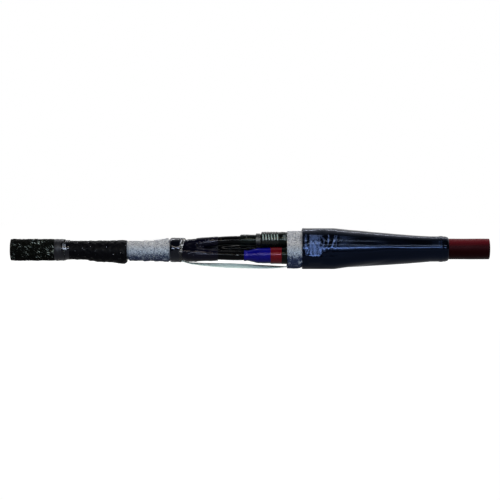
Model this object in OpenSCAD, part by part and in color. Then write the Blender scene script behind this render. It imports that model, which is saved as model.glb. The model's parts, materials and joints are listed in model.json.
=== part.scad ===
// Straight transition joint between a three-core paper-insulated lead cable (left, -X)
// and a three-core polymer-insulated cable with a red sheath (right, +X).
// The left half is shown with its outer sleeve left off, so the breakout, the cores and
// the stepped tubes lie open. Millimetres, +X towards the red cable, +Z up, floor at z = 0.

/* [Paper cable] */
// Distance from the middle of the joint to each cut cable end
half_len = 720; // [700:5:760]
// Height of the paper cable's axis above the floor
paper_z = 57.5; // [57:0.5:58]
// Diameter over the tarred jute serving
serving_d = 65.2; // [64:0.2:67]
// Diameter over the steel armour tapes
armour_d = 52.4; // [52:0.1:52.6]
// Diameter over the bedding under the armour
bedding_d = 50; // [49.6:0.1:50.4]
// Diameter over the lead sheath
lead_d = 46.8; // [46.4:0.1:47]
// Diameter over the belt paper
belt_d = 42.4; // [42:0.1:42.8]
// Diameter over the paper of one core
paper_core_d = 18.6; // [18:0.1:18.8]
// Diameter of one paper-insulated conductor
paper_wire_d = 13; // [12:0.1:13.4]

/* [Polymer cable] */
// Height of the red cable's axis above the floor
polymer_z = 60; // [59.5:0.5:60.5]
// Diameter over the red sheath
sheath_d = 62.4; // [62:0.1:63]
// Diameter over the filler under the sheath
filler_d = 57.2; // [56.8:0.1:57.6]
// Diameter over the copper screen of one core
screen_d = 24.4; // [24:0.1:24.6]
// Diameter over the insulation of one core
polymer_core_d = 22.4; // [22:0.1:22.6]
// Diameter of one polymer-insulated conductor
polymer_wire_d = 14.2; // [13.6:0.1:14.6]

/* [Core spread] */
// Height of the upper core in the joint body
top_z = 85.2; // [84.8:0.1:86]
// Height of the two lower cores in the joint body
low_z = 40.8; // [40.4:0.1:41.2]
// Distance of each lower core from the middle plane
low_y = 27.2; // [27:0.1:28]
// Where the paper cores leave the lead sheath and start to spread
spread_x0 = -262; // [-264:1:-260]
// Where the upper and the front paper core run straight again
spread_x1 = -30; // [-34:1:-28]
// Where the rear paper core runs straight again
rear_x1 = 2; // [0:1:3]
// How far the rear paper core rises behind the gap between the other two
rear_rise = 19; // [16:0.5:20]
// Where the polymer cores start to close up
close_x0 = 315; // [312:1:318]
// Where the polymer cores lie together in their cable
close_x1 = 520; // [510:1:524]

/* [Wraps on the paper cable] */
// Where the jute serving is cut back
serving_x1 = -556; // [-558:1:-554]
// Length of the smooth binding on the end of the serving
binding_len = 32; // [28:1:36]
// Where the armour tapes are cut back
armour_x1 = -430; // [-436:1:-426]
// Where the lumpy armour tape wrap ends against the mesh
wrap_x1 = -370; // [-372:1:-368]
// Where the mesh disappears under the crotch band
band_x0 = -241; // [-241.5:0.5:-240.5]
// Where the crotch band ends against the breakout boot
band_x1 = -205; // [-206:1:-204]
// Diameter over the crotch band
band_d = 75; // [74:0.5:76]
// Thickness of the knitted copper mesh
mesh_t = 2; // [1.6:0.1:2.2]

/* [Joint bodies] */
// Diameter of the black tube on each paper core
core_tube_d = 28.4; // [28:0.1:28.6]
// Diameter of the thin end of a blue tube
thin_d = 30.8; // [30.6:0.1:31.2]
// Diameter of the full part of a blue tube
blue_d = 45.6; // [45:0.1:46]
// Diameter of a red tube
red_d = 49.8; // [49.4:0.1:50.2]
// Diameter of a black screened tube
black_d = 51.4; // [51:0.1:51.6]
// Where the red tube starts on the front core
red_x0 = 61.5; // [60:0.5:64]
// Where the black screened tube starts on the front core
black_x0 = 94.5; // [92:0.5:96]
// Where the tubes' full diameter ends on the polymer side
body_x1 = 284; // [280:1:288]
// Diameter of a conductor connector
connector_d = 29; // [28:0.1:30]
// Length of a conductor connector
connector_len = 130; // [120:2:136]
// Middle of the connectors
connector_x = 150; // [149:1:151]
// Diameter of a sheared bolt
bolt_d = 10; // [8:0.5:11]

/* [Taped upper core] */
// Diameter of the upper screened tube before its shoulder
neck_d = 36.8; // [36.4:0.1:37]
// Start of the ridged tape on the upper core
ridge_x0 = 35; // [34:1:37]
// Number of tape ridges
ridges = 6; // [4:1:6]
// Distance from one tape ridge to the next
ridge_pitch = 8.6; // [8:0.1:9]
// Height of a tape ridge
ridge_h = 0.9; // [0.4:0.1:1.2]

/* [Outer sleeve] */
// Cut edge of the sleeve over the mesh band
sleeve_x0 = 156; // [152:1:158]
// Where the sleeve starts to taper
taper_x0 = 252; // [246:1:258]
// Where the sleeve's taper ends
taper_x1 = 544; // [536:1:550]
// End of the sleeve on the red cable
sleeve_x1 = 588; // [586:1:592]
// Height of the sleeve over the joint bodies
sleeve_h = 123; // [122:0.5:125]
// Diameter of the sleeve on the red cable
sleeve_end_d = 76.5; // [76:0.5:78]
// Radius of the sleeve's upper lobe, which the padding under it makes full
sleeve_top_r = 60; // [56:0.5:61]
// Wall of the sleeve
sleeve_wall = 5; // [4.5:0.1:5.2]

/* [Hidden] */
CORES = ["top", "front", "rear"];

$fn = 64;
ring_n = 28;        // points round a wrapped layer
sleeve_n = 40;      // points round the outer sleeve
core_n = 12;        // points round a cable core
tube_n = 18;        // points round a core tube
hull_fn = 24;       // points round a lobe of the boot
spread_knots = [5, 5, 8];   // straight steps in the bend of each paper core
close_knots = 3;    // straight steps in the bend of a polymer core
slip = 0.1;         // gap between layers that only touch
disc_t = 0.2;       // thickness of the discs that the boot is drawn between
over = 1;           // how far a cutting solid runs past the solid it cuts
block = 120;        // size of a block that takes in the whole bundle

// Each list holds the three cores as [y, z], in the order of CORES.
core_gap = 0.2;
paper_lay = (paper_core_d + core_gap) / 2 / sin(60);
polymer_lay = (screen_d + core_gap) / 2 / sin(60);
belt_bore_d = 2 * paper_lay + paper_core_d + 2 * core_gap;
paper_spot = triad(paper_lay, paper_z);
polymer_spot = triad(polymer_lay, polymer_z);
body_spot = [[0, top_z], [-low_y, low_z], [low_y, low_z]];

// Where the layers of the paper cable end, one step after the other.
paper_ins_x1 = connector_x - connector_len / 2 - 15;
belt_x1 = spread_x0 + 6;
web_t = 10;

// The boot: palm sections as [x, upper lobe height, its radius, lower lobe y, height, radius].
palm = [
    [band_x1, 69.9, 17.6, 9.5, 51, 24.2],
    [-188, 71, 17.8, 11.5, 47.4, 25.2],
    [-160, 73.4, 18, 15.5, 45, 23.2]
];
boot_wall = 3;
skirt_x0 = -272;
skirt_d = 55;
finger_x = [-160, -138, -116, -96];
finger_x0 = -158;
finger_r_top = [18, 17.2, 16.4, 15.9];
finger_r_low = [22.6, 20.4, 18.8, 17.6];
finger_drop = [2.4, 1.6, 1, 0.4];   // how far a lower finger lies below its core

// The earth braid's route, from the crotch band to the joint bodies: [x, height, tilt, curl].
// At curl 1 the strip lies round the mesh under the band, and at curl 0 it is flat.
braid_w = 28;
braid_t = 2.4;
mesh_tail_r = 31.6;
mesh_tail_z = 56;
braid_lay_r = mesh_tail_r + braid_t / 2 + 0.5;
braid_start_z = mesh_tail_z - braid_lay_r;
braid_route = [
    [-238, braid_start_z, 0, 1], [-204, braid_start_z, 0, 1], [-196, 20.6, 2, 0.6],
    [-188, 18.6, 5, 0.3], [-174, 16.4, 9, 0], [-136, 13.4, 17, 0],
    [-100, 11.6, 24, 0], [-60, 10, 28, 0], [-20, 8.6, 27, 0], [20, 7, 22, 0],
    [60, 6, 17, 0], [88, 6, 9, 0], [108, 6.8, 1, 0], [136, 7.4, 0, 0], [154, 10.4, 0, 0],
    [252, 10.4, 0, 0], [284, 16.6, 0, 0], [306, 23, 0, 0], [320, 30, 0, 0], [342, 30, 0, 0]
];

// The mesh band as [x, upper radius, lower y, lower height, lower radius].
mesh_rings = [
    [112, 28.4, 26, 35, 32.2], [116, 28.9, 26, 35, 33], [140, 28.9, 26, 35, 33],
    [150, 28.9, 26, 36, 33], [155, 28.8, 26, 38, 31.4], [taper_x0, 28.8, 26, 38, 31.4],
    [body_x1, 28.4, low_y, low_z, 28.2]
];

sleeve_low_y = 26;
sleeve_low_r = 38;
lip_x = 575;
lip_h = 1.6;

// Three cores laid round a cable axis, one on top
function triad(lay, z) = [for (a = [90, 210, 330]) [lay * cos(a), z + lay * sin(a)]];
// Straight run between two values
function between(a, b, t) = a + (b - a) * t;
// A share held between 0 and 1
function share(x, x0, x1) = min(1, max(0, (x - x0) / (x1 - x0)));
// A taper that is steep at first and then runs out level
function run_out(t, power) = 1 - pow(1 - t, power);
// The last value of a list
function last(v) = v[len(v) - 1];
// A list from back to front
function back(v) = [for (i = [len(v) - 1:-1:0]) v[i]];
// A share of a bend made of two equal arcs, back to back
function arcs(t) = t < 0.5 ? 2 * t * t : 1 - 2 * (1 - t) * (1 - t);
// The rear core's rise at a share of its bend: it comes late and dies out level
function rise(t) = rear_rise * pow(sin(180 * pow(t, 2.6)), 2);
// A value between the two nearest of n even steps, so that layers laid over each other match
function stepped(values, t, n) =
    let (k = min(floor(t * n), n - 1))
    between(values[k], values[k + 1], t * n - k);
function bend(t, n) = stepped([for (k = [0:n]) arcs(k / n)], t, n);
function rear_bend(t, n) = stepped([for (k = [0:n]) rise(k / n)], t, n);
// End of a paper core's bend
function spread_end(i) = i == 2 ? rear_x1 : spread_x1;
// Place of a core at x as [y, z]: it spreads on the paper side and closes up on the other
function core_at(x, i) =
    let (t = share(x, spread_x0, spread_end(i)), n = spread_knots[i])
    x < connector_x
        ? between(paper_spot[i], body_spot[i], bend(t, n)) + [0, i == 2 ? rear_bend(t, n) : 0]
        : between(body_spot[i], polymer_spot[i], bend(share(x, close_x0, close_x1), close_knots));
// Stations along a core: both ends, and the knots of its bend that lie between them
function core_stations(i, from, to) =
    let (
        paper = from < connector_x,
        x0 = paper ? spread_x0 : close_x0,
        x1 = paper ? spread_end(i) : close_x1,
        n = paper ? spread_knots[i] : close_knots
    )
    concat(
        [from],
        [for (k = [0:n]) let (x = between(x0, x1, k / n)) if (x > from + 1 && x < to - 1) x],
        [to]
    );
// Rings round a core
function core_rings(i, from, to, d, n) =
    [for (x = core_stations(i, from, to))
        let (p = core_at(x, i))
        [for (q = round_ring(x, p[1], d / 2, n)) [q[0], q[1] + p[0], q[2]]]];

// A round ring of points across X
function round_ring(x, z, r, n = ring_n) =
    [for (i = [0:n - 1]) let (a = 360 * (i + 0.5) / n) [x, r * cos(a), z + r * sin(a)]];
// The outline round three circles, one above and two below, found by the outward direction:
// each point lies on the circle that reaches furthest that way
function lobe_point(a, tz, tr, ly, lz, lr) =
    let (s = cos(a) < 0 ? -1 : 1)
    sin(a) * tz + tr > s * ly * cos(a) + lz * sin(a) + lr
        ? [tr * cos(a), tz + tr * sin(a)]
        : [s * ly + lr * cos(a), lz + lr * sin(a)];
function lobe_ring(x, tz, tr, ly, lz, lr, n) =
    [for (i = [0:n - 1])
        let (p = lobe_point(360 * (i + 0.5) / n, tz, tr, ly, lz, lr)) [x, p[0], p[1]]];

// How far the lip at the sleeve's end stands out at x
function sleeve_lip(x) = lip_h * max(0, 1 - abs(x - lip_x) / 14);
// The sleeve's outline at x, set in by its wall: three lobes that close up to a circle
function sleeve_ring(x, inset) =
    let (
        t = share(x, taper_x0, taper_x1),
        end_r = sleeve_end_d / 2,
        top = between(sleeve_h, polymer_z + end_r, run_out(t, 1.2)),
        bottom = between(0, polymer_z - end_r, run_out(t, 2)),
        tr = between(sleeve_top_r, end_r, t),
        lr = between(sleeve_low_r, end_r, t),
        ly = between(sleeve_low_y, 0, run_out(t, 1.2)),
        grow = sleeve_lip(x) - inset
    )
    lobe_ring(x, top - tr, tr + grow, ly, bottom + lr * cos(180 / sleeve_n), lr + grow, sleeve_n);

// Triangles between two neighbouring rings of a row, numbered from ring a to ring b.
// Each is listed clockwise seen from outside, or the other way round for a bore.
function wall(a, b, n, bore = false) =
    [for (k = [a:b - 1]) for (i = [0:n - 1])
        let (p = k * n + i, q = k * n + (i + 1) % n)
        each bore ? [[p, q, p + n], [q, q + n, p + n]] : [[p, p + n, q], [q, p + n, q + n]]];
// Triangles of a flat ring between ring a outside and ring b inside, facing -X
function ring_face(a, b, n, flip = false) =
    [for (i = [0:n - 1])
        let (j = (i + 1) % n, p = a * n + i, q = a * n + j, s = b * n + i, t = b * n + j)
        each flip ? [[p, s, q], [q, s, t]] : [[p, q, s], [q, t, s]]];

// A closed skin over an outer and an inner row of rings, with flat ends between them
module skin(outer, inner) {
    n = len(outer[0]);
    a = len(outer);
    b = len(inner);
    polyhedron(
        [for (r = concat(outer, inner)) each r],
        concat(
            wall(0, a - 1, n), wall(a, a + b - 1, n, true),
            ring_face(0, a, n), ring_face(a - 1, a + b - 1, n, true)
        )
    );
}

// A bar through a row of rings, closed at both ends
module bar_skin(rings) {
    n = len(rings[0]);
    a = len(rings) - 1;
    polyhedron(
        [for (r = rings) each r],
        concat(
            wall(0, a, n),
            [for (i = [1:n - 2]) [0, i, i + 1]],
            [for (i = [1:n - 2]) [a * n, a * n + i + 1, a * n + i]]
        )
    );
}

// Something drawn along local Z, laid along X at a place [y, z]
module lay_x(x, spot) {
    translate([x, spot[0], spot[1]]) rotate([0, 90, 0]) children();
}

// A round layer from x0 to x1
module layer(x0, x1, d_out, d_in, spot) {
    lay_x(x0, spot) difference() {
        cylinder(d = d_out, h = x1 - x0);
        translate([0, 0, -over]) cylinder(d = d_in, h = x1 - x0 + 2 * over);
    }
}

// A turned solid about X from an outline of [x, radius] points
module turned(outline, spot) {
    lay_x(0, spot) rotate_extrude() polygon([for (p = outline) [p[1], p[0]]]);
}

// A solid bar and a tube along a core
module core_bar(i, from, to, d, n) {
    bar_skin(core_rings(i, from, to, d, n));
}
module core_layer(i, from, to, d_out, d_in, n) {
    skin(core_rings(i, from, to, d_out, n), core_rings(i, from, to, d_in, n));
}

// A constant-force steel band rolled up on itself, with its turns a hair apart
module roll_spring(x, width, r0, turns, spot) {
    band = 0.6;
    pitch = 0.7;
    steps = 36;
    function turn(r) =
        [for (i = [0:turns * steps])
            let (a = 360 * i / steps, q = r + pitch * i / steps) [q * cos(a), q * sin(a)]];
    lay_x(x, spot) linear_extrude(width) polygon(concat(turn(r0), back(turn(r0 + band))));
}

// Paper cable

module jute_serving() {
    bare_x1 = serving_x1 - binding_len;
    color([0.06, 0.06, 0.055]) {
        layer(-half_len, bare_x1, serving_d, armour_d, [0, paper_z]);
        layer(bare_x1, serving_x1, serving_d - 1, armour_d, [0, paper_z]);
    }
}

module serving_binding() {
    x0 = serving_x1 - binding_len;
    r = serving_d / 2;
    color([0.05, 0.05, 0.06]) turned([
        [x0, r - 0.5], [x0, r], [x0 + 2, r + 0.7], [x0 + 9, r + 0.4], [x0 + 12, r + 1],
        [x0 + 20, r + 0.6], [x0 + 27, r + 0.9], [x0 + 30, r - 0.2], [x0 + binding_len, r - 0.5]
    ], [0, paper_z]);
}

module steel_tape_armour() {
    color([0.32, 0.32, 0.33]) layer(-half_len, armour_x1, armour_d, bedding_d, [0, paper_z]);
}

module armour_bedding() {
    color([0.2, 0.15, 0.1]) layer(-half_len, armour_x1 + 8, bedding_d, lead_d, [0, paper_z]);
}

module lead_sheath() {
    color([0.45, 0.46, 0.48]) layer(-half_len, spread_x0, lead_d, belt_d, [0, paper_z]);
}

// The belt's bore is round: the cores and their filler lie in it
module belt_paper() {
    color([0.72, 0.6, 0.4])
        layer(-half_len, belt_x1, belt_d, belt_bore_d, [0, paper_z]);
}

module paper_filler() {
    color([0.66, 0.55, 0.36]) difference() {
        lay_x(-half_len, [0, paper_z]) cylinder(d = belt_bore_d, h = half_len + spread_x0);
        for (p = paper_spot)
            lay_x(-half_len - over, p)
                cylinder(d = paper_core_d, h = half_len + spread_x0 + 2 * over);
    }
}

module paper_insulation(i) {
    color([0.78, 0.66, 0.45])
        core_layer(i, -half_len, paper_ins_x1, paper_core_d, paper_wire_d, core_n);
}

module paper_conductor(i) {
    color([0.72, 0.45, 0.3])
        core_bar(i, -half_len, connector_x - web_t / 2, paper_wire_d, core_n);
}

// Wraps on the paper cable

// Lumps of the armour tape: small waves along and round the cable
function lumpy_ring(s) =
    [for (i = [0:ring_n - 1])
        let (
            a = 360 * (i + 0.5) / ring_n,
            r = s[2] + 0.35 * sin(2 * a + 9 * s[0]) + 0.25 * sin(5 * a - 14 * s[0])
        )
        [s[0], r * cos(a), s[1] + r * sin(a)]];

module armour_tape_wrap() {
    x0 = serving_x1;
    rings = [
        [x0, 57, 29.2], [x0 + 6, 56.6, 28.4], [x0 + 56, 56.2, 28.5],
        [x0 + 70, 55.2, 29.6], [x0 + 84, 54, 31], [x0 + 102, 53.2, 32.6],
        [x0 + 138, 52.8, 33], [x0 + 152, 52.2, 34],
        [x0 + 160, 51.6, 35.4], [x0 + 168, 51.2, 36], [x0 + 178, 51.4, 35.6], [wrap_x1, 53, 33]
    ];
    bore = [
        [x0, paper_z, armour_d / 2 + 0.2], [armour_x1 + 4, paper_z, armour_d / 2 + 0.2],
        [armour_x1 + 14, paper_z, 28], [wrap_x1, paper_z, 28]
    ];
    color([0.05, 0.05, 0.05]) skin(
        [for (s = rings) lumpy_ring(s)],
        [for (s = bore) round_ring(s[0], s[1], s[2])]
    );
}

module sheath_roll_spring() {
    color([0.7, 0.72, 0.75]) roll_spring(-398, 20, mesh_lay_r + slip, 2, [0, paper_z]);
}

// Radius over the mesh where it lies straight on the lead sheath
mesh_lay_r = lead_d / 2 + mesh_t + 0.2;

// The mesh wrap and the padding under it share these rings of [x, centre height, radius].
// They lie thin under the roll spring, grow over the padding and end under the crotch band.
wrap_rings = [
    [-371, paper_z, mesh_lay_r], [-362, 54.6, 30.2], [-323, 54.2, 29.9],
    [-321, 54.2, 30.5], [-290, 54.8, 30.7], [-288, 54.9, 31.4], [-271, 55.9, 32.8],
    [-256, 56.8, 35], [-247, 57, 36.5], [-242, mesh_tail_z, mesh_tail_r],
    [-212, mesh_tail_z, mesh_tail_r]
];

module sheath_padding() {
    inside = [for (s = wrap_rings)
        if (s[0] > -370 && s[0] < -250) [s[0], s[1], s[2] - mesh_t - slip]];
    color([0.08, 0.08, 0.08]) skin(
        [for (s = inside) round_ring(s[0], s[1], s[2])],
        [round_ring(inside[0][0], paper_z, lead_d / 2 + 0.2),
         round_ring(skirt_x0 - 1, paper_z, lead_d / 2 + 0.2),
         round_ring(skirt_x0, paper_z, skirt_d / 2 + 0.3),
         round_ring(last(inside)[0], paper_z, skirt_d / 2 + 0.3)]
    );
}

module sheath_mesh_wrap() {
    start = [[-404, paper_z, mesh_lay_r]];
    color([0.66, 0.69, 0.74]) skin(
        [for (s = concat(start, wrap_rings)) round_ring(s[0], s[1], s[2])],
        [for (s = concat(start, wrap_rings)) round_ring(s[0], s[1], s[2] - mesh_t)]
    );
}

// The curved slot for the braid under the mesh tail, as a ring sector drawn in few steps
module braid_slot() {
    half = asin((braid_w / 2 + 0.3) / braid_lay_r);
    steps = 6;
    arc_r = (braid_lay_r + braid_t / 2 + 0.2) / cos(half / steps);
    arc = [for (k = [0:steps]) let (a = between(-half, half, k / steps)) arc_r * [cos(a), sin(a)]];
    back_r = mesh_tail_r - 4;
    polygon(concat(arc, [back_r * [cos(half), sin(half)], back_r * [cos(half), -sin(half)]]));
}

module crotch_band() {
    r = band_d / 2;
    color([0.04, 0.04, 0.07]) difference() {
        turned([
            [band_x0, 0], [band_x0, r - 1], [band_x0 + 2, r], [band_x0 + 16, r - 0.5],
            [band_x0 + 18, r], [band_x1 - 3, r], [band_x1, r - 1.5], [band_x1, 0]
        ], [0, paper_z - 0.5]);
        lay_x(band_x0 - over, [0, mesh_tail_z])
            cylinder(r = mesh_tail_r + 0.2, h = band_x1 - band_x0 + 2 * over);
        lay_x(band_x0 - over, [0, mesh_tail_z])
            linear_extrude(band_x1 - band_x0 + 2 * over) braid_slot();
    }
}

// Breakout boot

// A thin round disc across X
module disc(x, y, z, r) {
    translate([x, y, z]) rotate([0, 90, 0]) cylinder(r = r, h = disc_t, $fn = hull_fn);
}

// One section of the palm: an upper lobe and two lower ones
module palm_section(s, inset) {
    disc(s[0], 0, s[1], s[2] - inset);
    disc(s[0], -s[3], s[4], s[5] - inset);
    disc(s[0], s[3], s[4], s[5] - inset);
}

module palm_body(inset) {
    for (k = [0:len(palm) - 2])
        hull() {
            palm_section(palm[k], inset);
            palm_section(palm[k + 1], inset);
        }
}

module finger(i) {
    radii = i == 0 ? finger_r_top : finger_r_low;
    drop = (i == 0 ? 0 : 1) * finger_drop;
    for (k = [0:len(finger_x) - 2])
        hull()
            for (m = [k, k + 1]) {
                p = core_at(finger_x[m], i);
                disc(finger_x[m], p[0], p[1] - drop[m], radii[m]);
            }
}

module breakout_boot() {
    inner_x = palm[0][0] + boot_wall;
    color([0.03, 0.03, 0.06]) difference() {
        union() {
            hull() {
                disc(skirt_x0, 0, paper_z, skirt_d / 2 - 0.6);
                disc(band_x1 - disc_t, 0, paper_z, skirt_d / 2);
            }
            palm_body(0);
            for (i = [0:2])
                finger(i);
        }
        lay_x(skirt_x0 - over, [0, paper_z])
            cylinder(r = lead_d / 2 + 0.3, h = inner_x - skirt_x0 + over);
        intersection() {
            palm_body(boot_wall);
            translate([inner_x, -block / 2, 0]) cube([finger_x0 - inner_x, block, block]);
        }
        for (i = [0:2])
            core_bar(i, finger_x0 - 3, last(finger_x) + 5, core_tube_d + 0.6, tube_n);
    }
}

module crotch_mastic() {
    inner_x = palm[0][0] + boot_wall;
    color([0.75, 0.6, 0.15]) difference() {
        union() {
            lay_x(spread_x0, [0, paper_z]) cylinder(d = lead_d, h = inner_x + 0.5 - spread_x0);
            intersection() {
                palm_body(boot_wall + 0.15);
                translate([inner_x + 0.2, -block / 2, 0])
                    cube([finger_x0 - inner_x - 0.4, block, block]);
            }
        }
        lay_x(spread_x0 - over, [0, paper_z])
            cylinder(d = belt_d + 0.2, h = belt_x1 - spread_x0 + over);
        for (i = [0:2])
            core_bar(i, spread_x0 - over, finger_x0 + over, paper_core_d + 0.3, core_n);
    }
}

// Tubes on the cores

// The front core is cut back to show its layers. On the upper and the rear core the black
// screened tube runs on over the blue one as a neck, and starts here
neck_x0 = [-30, 0, 4];
// End of the black tube on each paper core
tube_x1 = [16, 10, 24];
// Where the blue tube's bore widens from the core tube to the mastic over the connector
function bore_cone(i) =
    let (x0 = i == 1 ? 13 : 31)
    [[x0, core_tube_d / 2], [x0 + 13, 17.3]];

module core_tube(i) {
    color([0.05, 0.05, 0.06])
        core_layer(i, finger_x0, tube_x1[i], core_tube_d, paper_core_d + 0.3, tube_n);
}

// The blue tube's outline: a turned lip on the front core, a thin end, a cone and the full part
module stress_tube(i) {
    thin = thin_d / 2;
    full = blue_d / 2;
    start = i == 1
        ? [[-18, thin + 0.9], [-16.5, thin + 1.3], [-14, thin + 0.8], [-9, thin], [-7.5, thin],
           [8, thin + 3.6], [22.5, full]]
        : [[neck_x0[i] + 16, thin], [31, thin], [38.5, full]];
    color([0.03, 0.03, 0.55]) turned(concat(
        start,
        [[body_x1 - 22, full], [body_x1 - 4, 14.4], [body_x1 - 4, screen_d / 2]],
        [[body_x1 - 16, screen_d / 2], [body_x1 - 34, 17.3]],
        back(bore_cone(i)),
        [[start[0][0], core_tube_d / 2]]
    ), body_spot[i]);
}

// Start of the red tube on each core. The rear one's is hidden, beyond the ridged tape that
// its neighbour wears, so that the two bodies lie clear of each other.
red_start = [red_x0 + 2, red_x0, 92];

module insulating_tube(i) {
    x0 = red_start[i];
    color([0.45, 0.03, 0.06]) turned([
        [x0, blue_d / 2], [x0, red_d / 2 - 0.3], [x0 + 0.6, red_d / 2], [body_x1 - 8, red_d / 2],
        [body_x1 + 10, 15.6], [body_x1 + 10, screen_d / 2], [body_x1 - 4, screen_d / 2],
        [body_x1 - 4, 14.4], [body_x1 - 22, blue_d / 2]
    ], body_spot[i]);
}

// The black screened tube: on the front core it is cut square, and on the other two it runs
// on over the blue tube's shoulder and thin end
module screened_tube(i) {
    r = black_d / 2;
    red_r = red_d / 2;
    x0 = neck_x0[i];
    full = i == 2 ? r - 0.7 : r;
    start = i == 1
        ? [[black_x0, red_r], [black_x0, r - 0.3], [black_x0 + 0.6, r]]
        : [[red_start[i], red_r], [red_start[i], blue_d / 2], [38.5, blue_d / 2],
           [31, thin_d / 2], [x0 + 12, thin_d / 2], [x0 + 8, core_tube_d / 2],
           [x0, core_tube_d / 2], [x0, neck_d / 2 - 1.4], [x0 + 3, neck_d / 2 - 0.6],
           [x0 + 22, neck_d / 2 - 0.5], [ridge_x0 - 3, neck_d / 2], [ridge_x0 - 0.5, full],
           [red_start[i] - 3, full], [red_start[i], r]];
    color([0.04, 0.05, 0.05]) turned(concat(
        start,
        [[body_x1, r], [body_x1 + 26, 14.2], [body_x1 + 26, screen_d / 2]],
        [[body_x1 + 10, screen_d / 2], [body_x1 + 10, 15.6], [body_x1 - 8, red_r]]
    ), body_spot[i]);
}

// Mastic that fills the steps over the connector, under the blue tube
module void_mastic(i) {
    start = concat([[tube_x1[i], core_tube_d / 2]], bore_cone(i));
    c0 = connector_x - connector_len / 2;
    c1 = connector_x + connector_len / 2;
    color([0.8, 0.68, 0.2]) turned(concat(
        start,
        [[body_x1 - 34, 17.3], [body_x1 - 16, screen_d / 2], [body_x1 - 16, polymer_core_d / 2]],
        [[c1 + 15, polymer_core_d / 2], [c1 + 15, polymer_wire_d / 2], [c1, polymer_wire_d / 2]],
        [[c1, connector_d / 2], [c0, connector_d / 2], [c0, paper_wire_d / 2]],
        [[paper_ins_x1, paper_wire_d / 2], [paper_ins_x1, paper_core_d / 2]],
        [[tube_x1[i], paper_core_d / 2]]
    ), body_spot[i]);
}

// Places of the bolts along a connector, two on each conductor
bolt_x = [for (s = [-1, 1]) for (k = [20, 46]) connector_x + s * k];

module connector(i) {
    p = body_spot[i];
    c0 = connector_x - connector_len / 2;
    c1 = connector_x + connector_len / 2;
    r = connector_d / 2;
    color([0.75, 0.76, 0.78]) difference() {
        turned([[c0, 0], [c0, r - 2], [c0 + 4, r], [c1 - 4, r], [c1, r - 2], [c1, 0]], p);
        lay_x(c0 - over, p) cylinder(d = paper_wire_d, h = connector_len / 2 - web_t / 2 + over);
        lay_x(connector_x + web_t / 2, p)
            cylinder(d = polymer_wire_d, h = connector_len / 2 - web_t / 2 + over);
        for (x = bolt_x)
            translate([x, p[0], p[1]]) cylinder(d = bolt_d, h = r + over);
    }
}

// The bolts have sheared off flush with the connector, and stand on the conductor
module shear_bolts() {
    color([0.8, 0.7, 0.4])
        for (i = [0:2])
            for (x = bolt_x) {
                wire_r = (x < connector_x ? paper_wire_d : polymer_wire_d) / 2;
                translate([x, body_spot[i][0], body_spot[i][1] + wire_r])
                    cylinder(d = bolt_d, h = connector_d / 2 - 1 - wire_r);
            }
}

module core_roll_spring() {
    color([0.7, 0.72, 0.74]) roll_spring(18, 13.4, neck_d / 2 + 0.2, 4, body_spot[0]);
}

// Tape lapped round the upper core: each turn leaves a rounded ridge
module ridged_tape() {
    r = black_d / 2;
    x1 = ridge_x0 + ridges * ridge_pitch;
    profile = [for (k = [0:ridges - 1]) for (s = [0:5])
        [ridge_x0 + (k + s / 6) * ridge_pitch, r + 0.25 + ridge_h * sin(180 * s / 6)]];
    color([0.35, 0.42, 0.4]) turned(
        concat([[ridge_x0, r]], profile, [[x1, r + 0.25], [x1, r]]), body_spot[0]
    );
}

// Mesh, padding and sleeve over all three bodies

module mesh_band() {
    color([0.66, 0.7, 0.76]) skin(
        [for (s = mesh_rings) lobe_ring(s[0], top_z, s[1], s[2], s[3], s[4], ring_n)],
        [for (s = mesh_rings)
            lobe_ring(s[0], top_z, s[1] - mesh_t, s[2], s[3], s[4] - mesh_t, ring_n)]
    );
}

// Padding tape that rounds the bundle under the sleeve
module padding_wrap() {
    ends = [sleeve_x0 + 2, taper_x0];
    color([0.1, 0.1, 0.1]) skin(
        [for (x = ends) sleeve_ring(x, sleeve_wall + slip)],
        [for (x = ends) lobe_ring(x, top_z, 29.6, 26, 38, 32, sleeve_n)]
    );
}

module outer_sleeve() {
    steps = 10;
    taper = [for (k = [0:steps]) between(taper_x0, taper_x1, k / steps)];
    stations = concat([sleeve_x0], taper, [lip_x - 14, lip_x - 5, lip_x, sleeve_x1 - 5, sleeve_x1]);
    bore = concat([sleeve_x0], [for (k = [0:2:steps]) taper[k]], [sleeve_x1]);
    color([0.02, 0.03, 0.08]) skin(
        [for (x = stations) sleeve_ring(x, 0)],
        [for (x = bore) sleeve_ring(x, sleeve_wall + sleeve_lip(x))]
    );
}

module sealing_mastic() {
    r = sheath_d / 2;
    fill = sleeve_end_d / 2 - sleeve_wall - 0.3;
    color([0.3, 0.05, 0.05]) turned([
        [taper_x1 + 4, r - 0.5], [taper_x1 + 4, fill], [sleeve_x1, fill],
        [sleeve_x1 + 2.5, fill - 0.2], [sleeve_x1 + 4, r], [sleeve_x1 + 4, r - 0.5]
    ], [0, polymer_z]);
}

// Earth connection

// A flat strip's section at one point of its route, curled round the cable by its share of
// curl and turned by its tilt about X
braid_across = [-1, -0.6, 0, 0.6, 1];
braid_edge = concat([for (c = braid_across) [c, -1]], [for (c = back(braid_across)) [c, 1]]);
function braid_ring(x, height, tilt, curl) =
    [for (c = braid_edge)
        let (
            y = c[0] * braid_w / 2,
            z = c[1] * braid_t / 2 * (abs(c[0]) == 1 ? 0.6 : 1)
                + curl * (braid_lay_r - sqrt(pow(braid_lay_r, 2) - y * y))
        )
        [x, y * cos(tilt) - z * sin(tilt), height + y * sin(tilt) + z * cos(tilt)]];

// Height or tilt at x on a smooth line through the route's points
function route_at(x, k, i = 0) =
    x <= braid_route[i + 1][0] || i == len(braid_route) - 2
        ? let (t = share(x, braid_route[i][0], braid_route[i + 1][0]), e = t * t * (3 - 2 * t))
            between(braid_route[i][k], braid_route[i + 1][k], (e + t) / 2)
        : route_at(x, k, i + 1);

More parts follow.
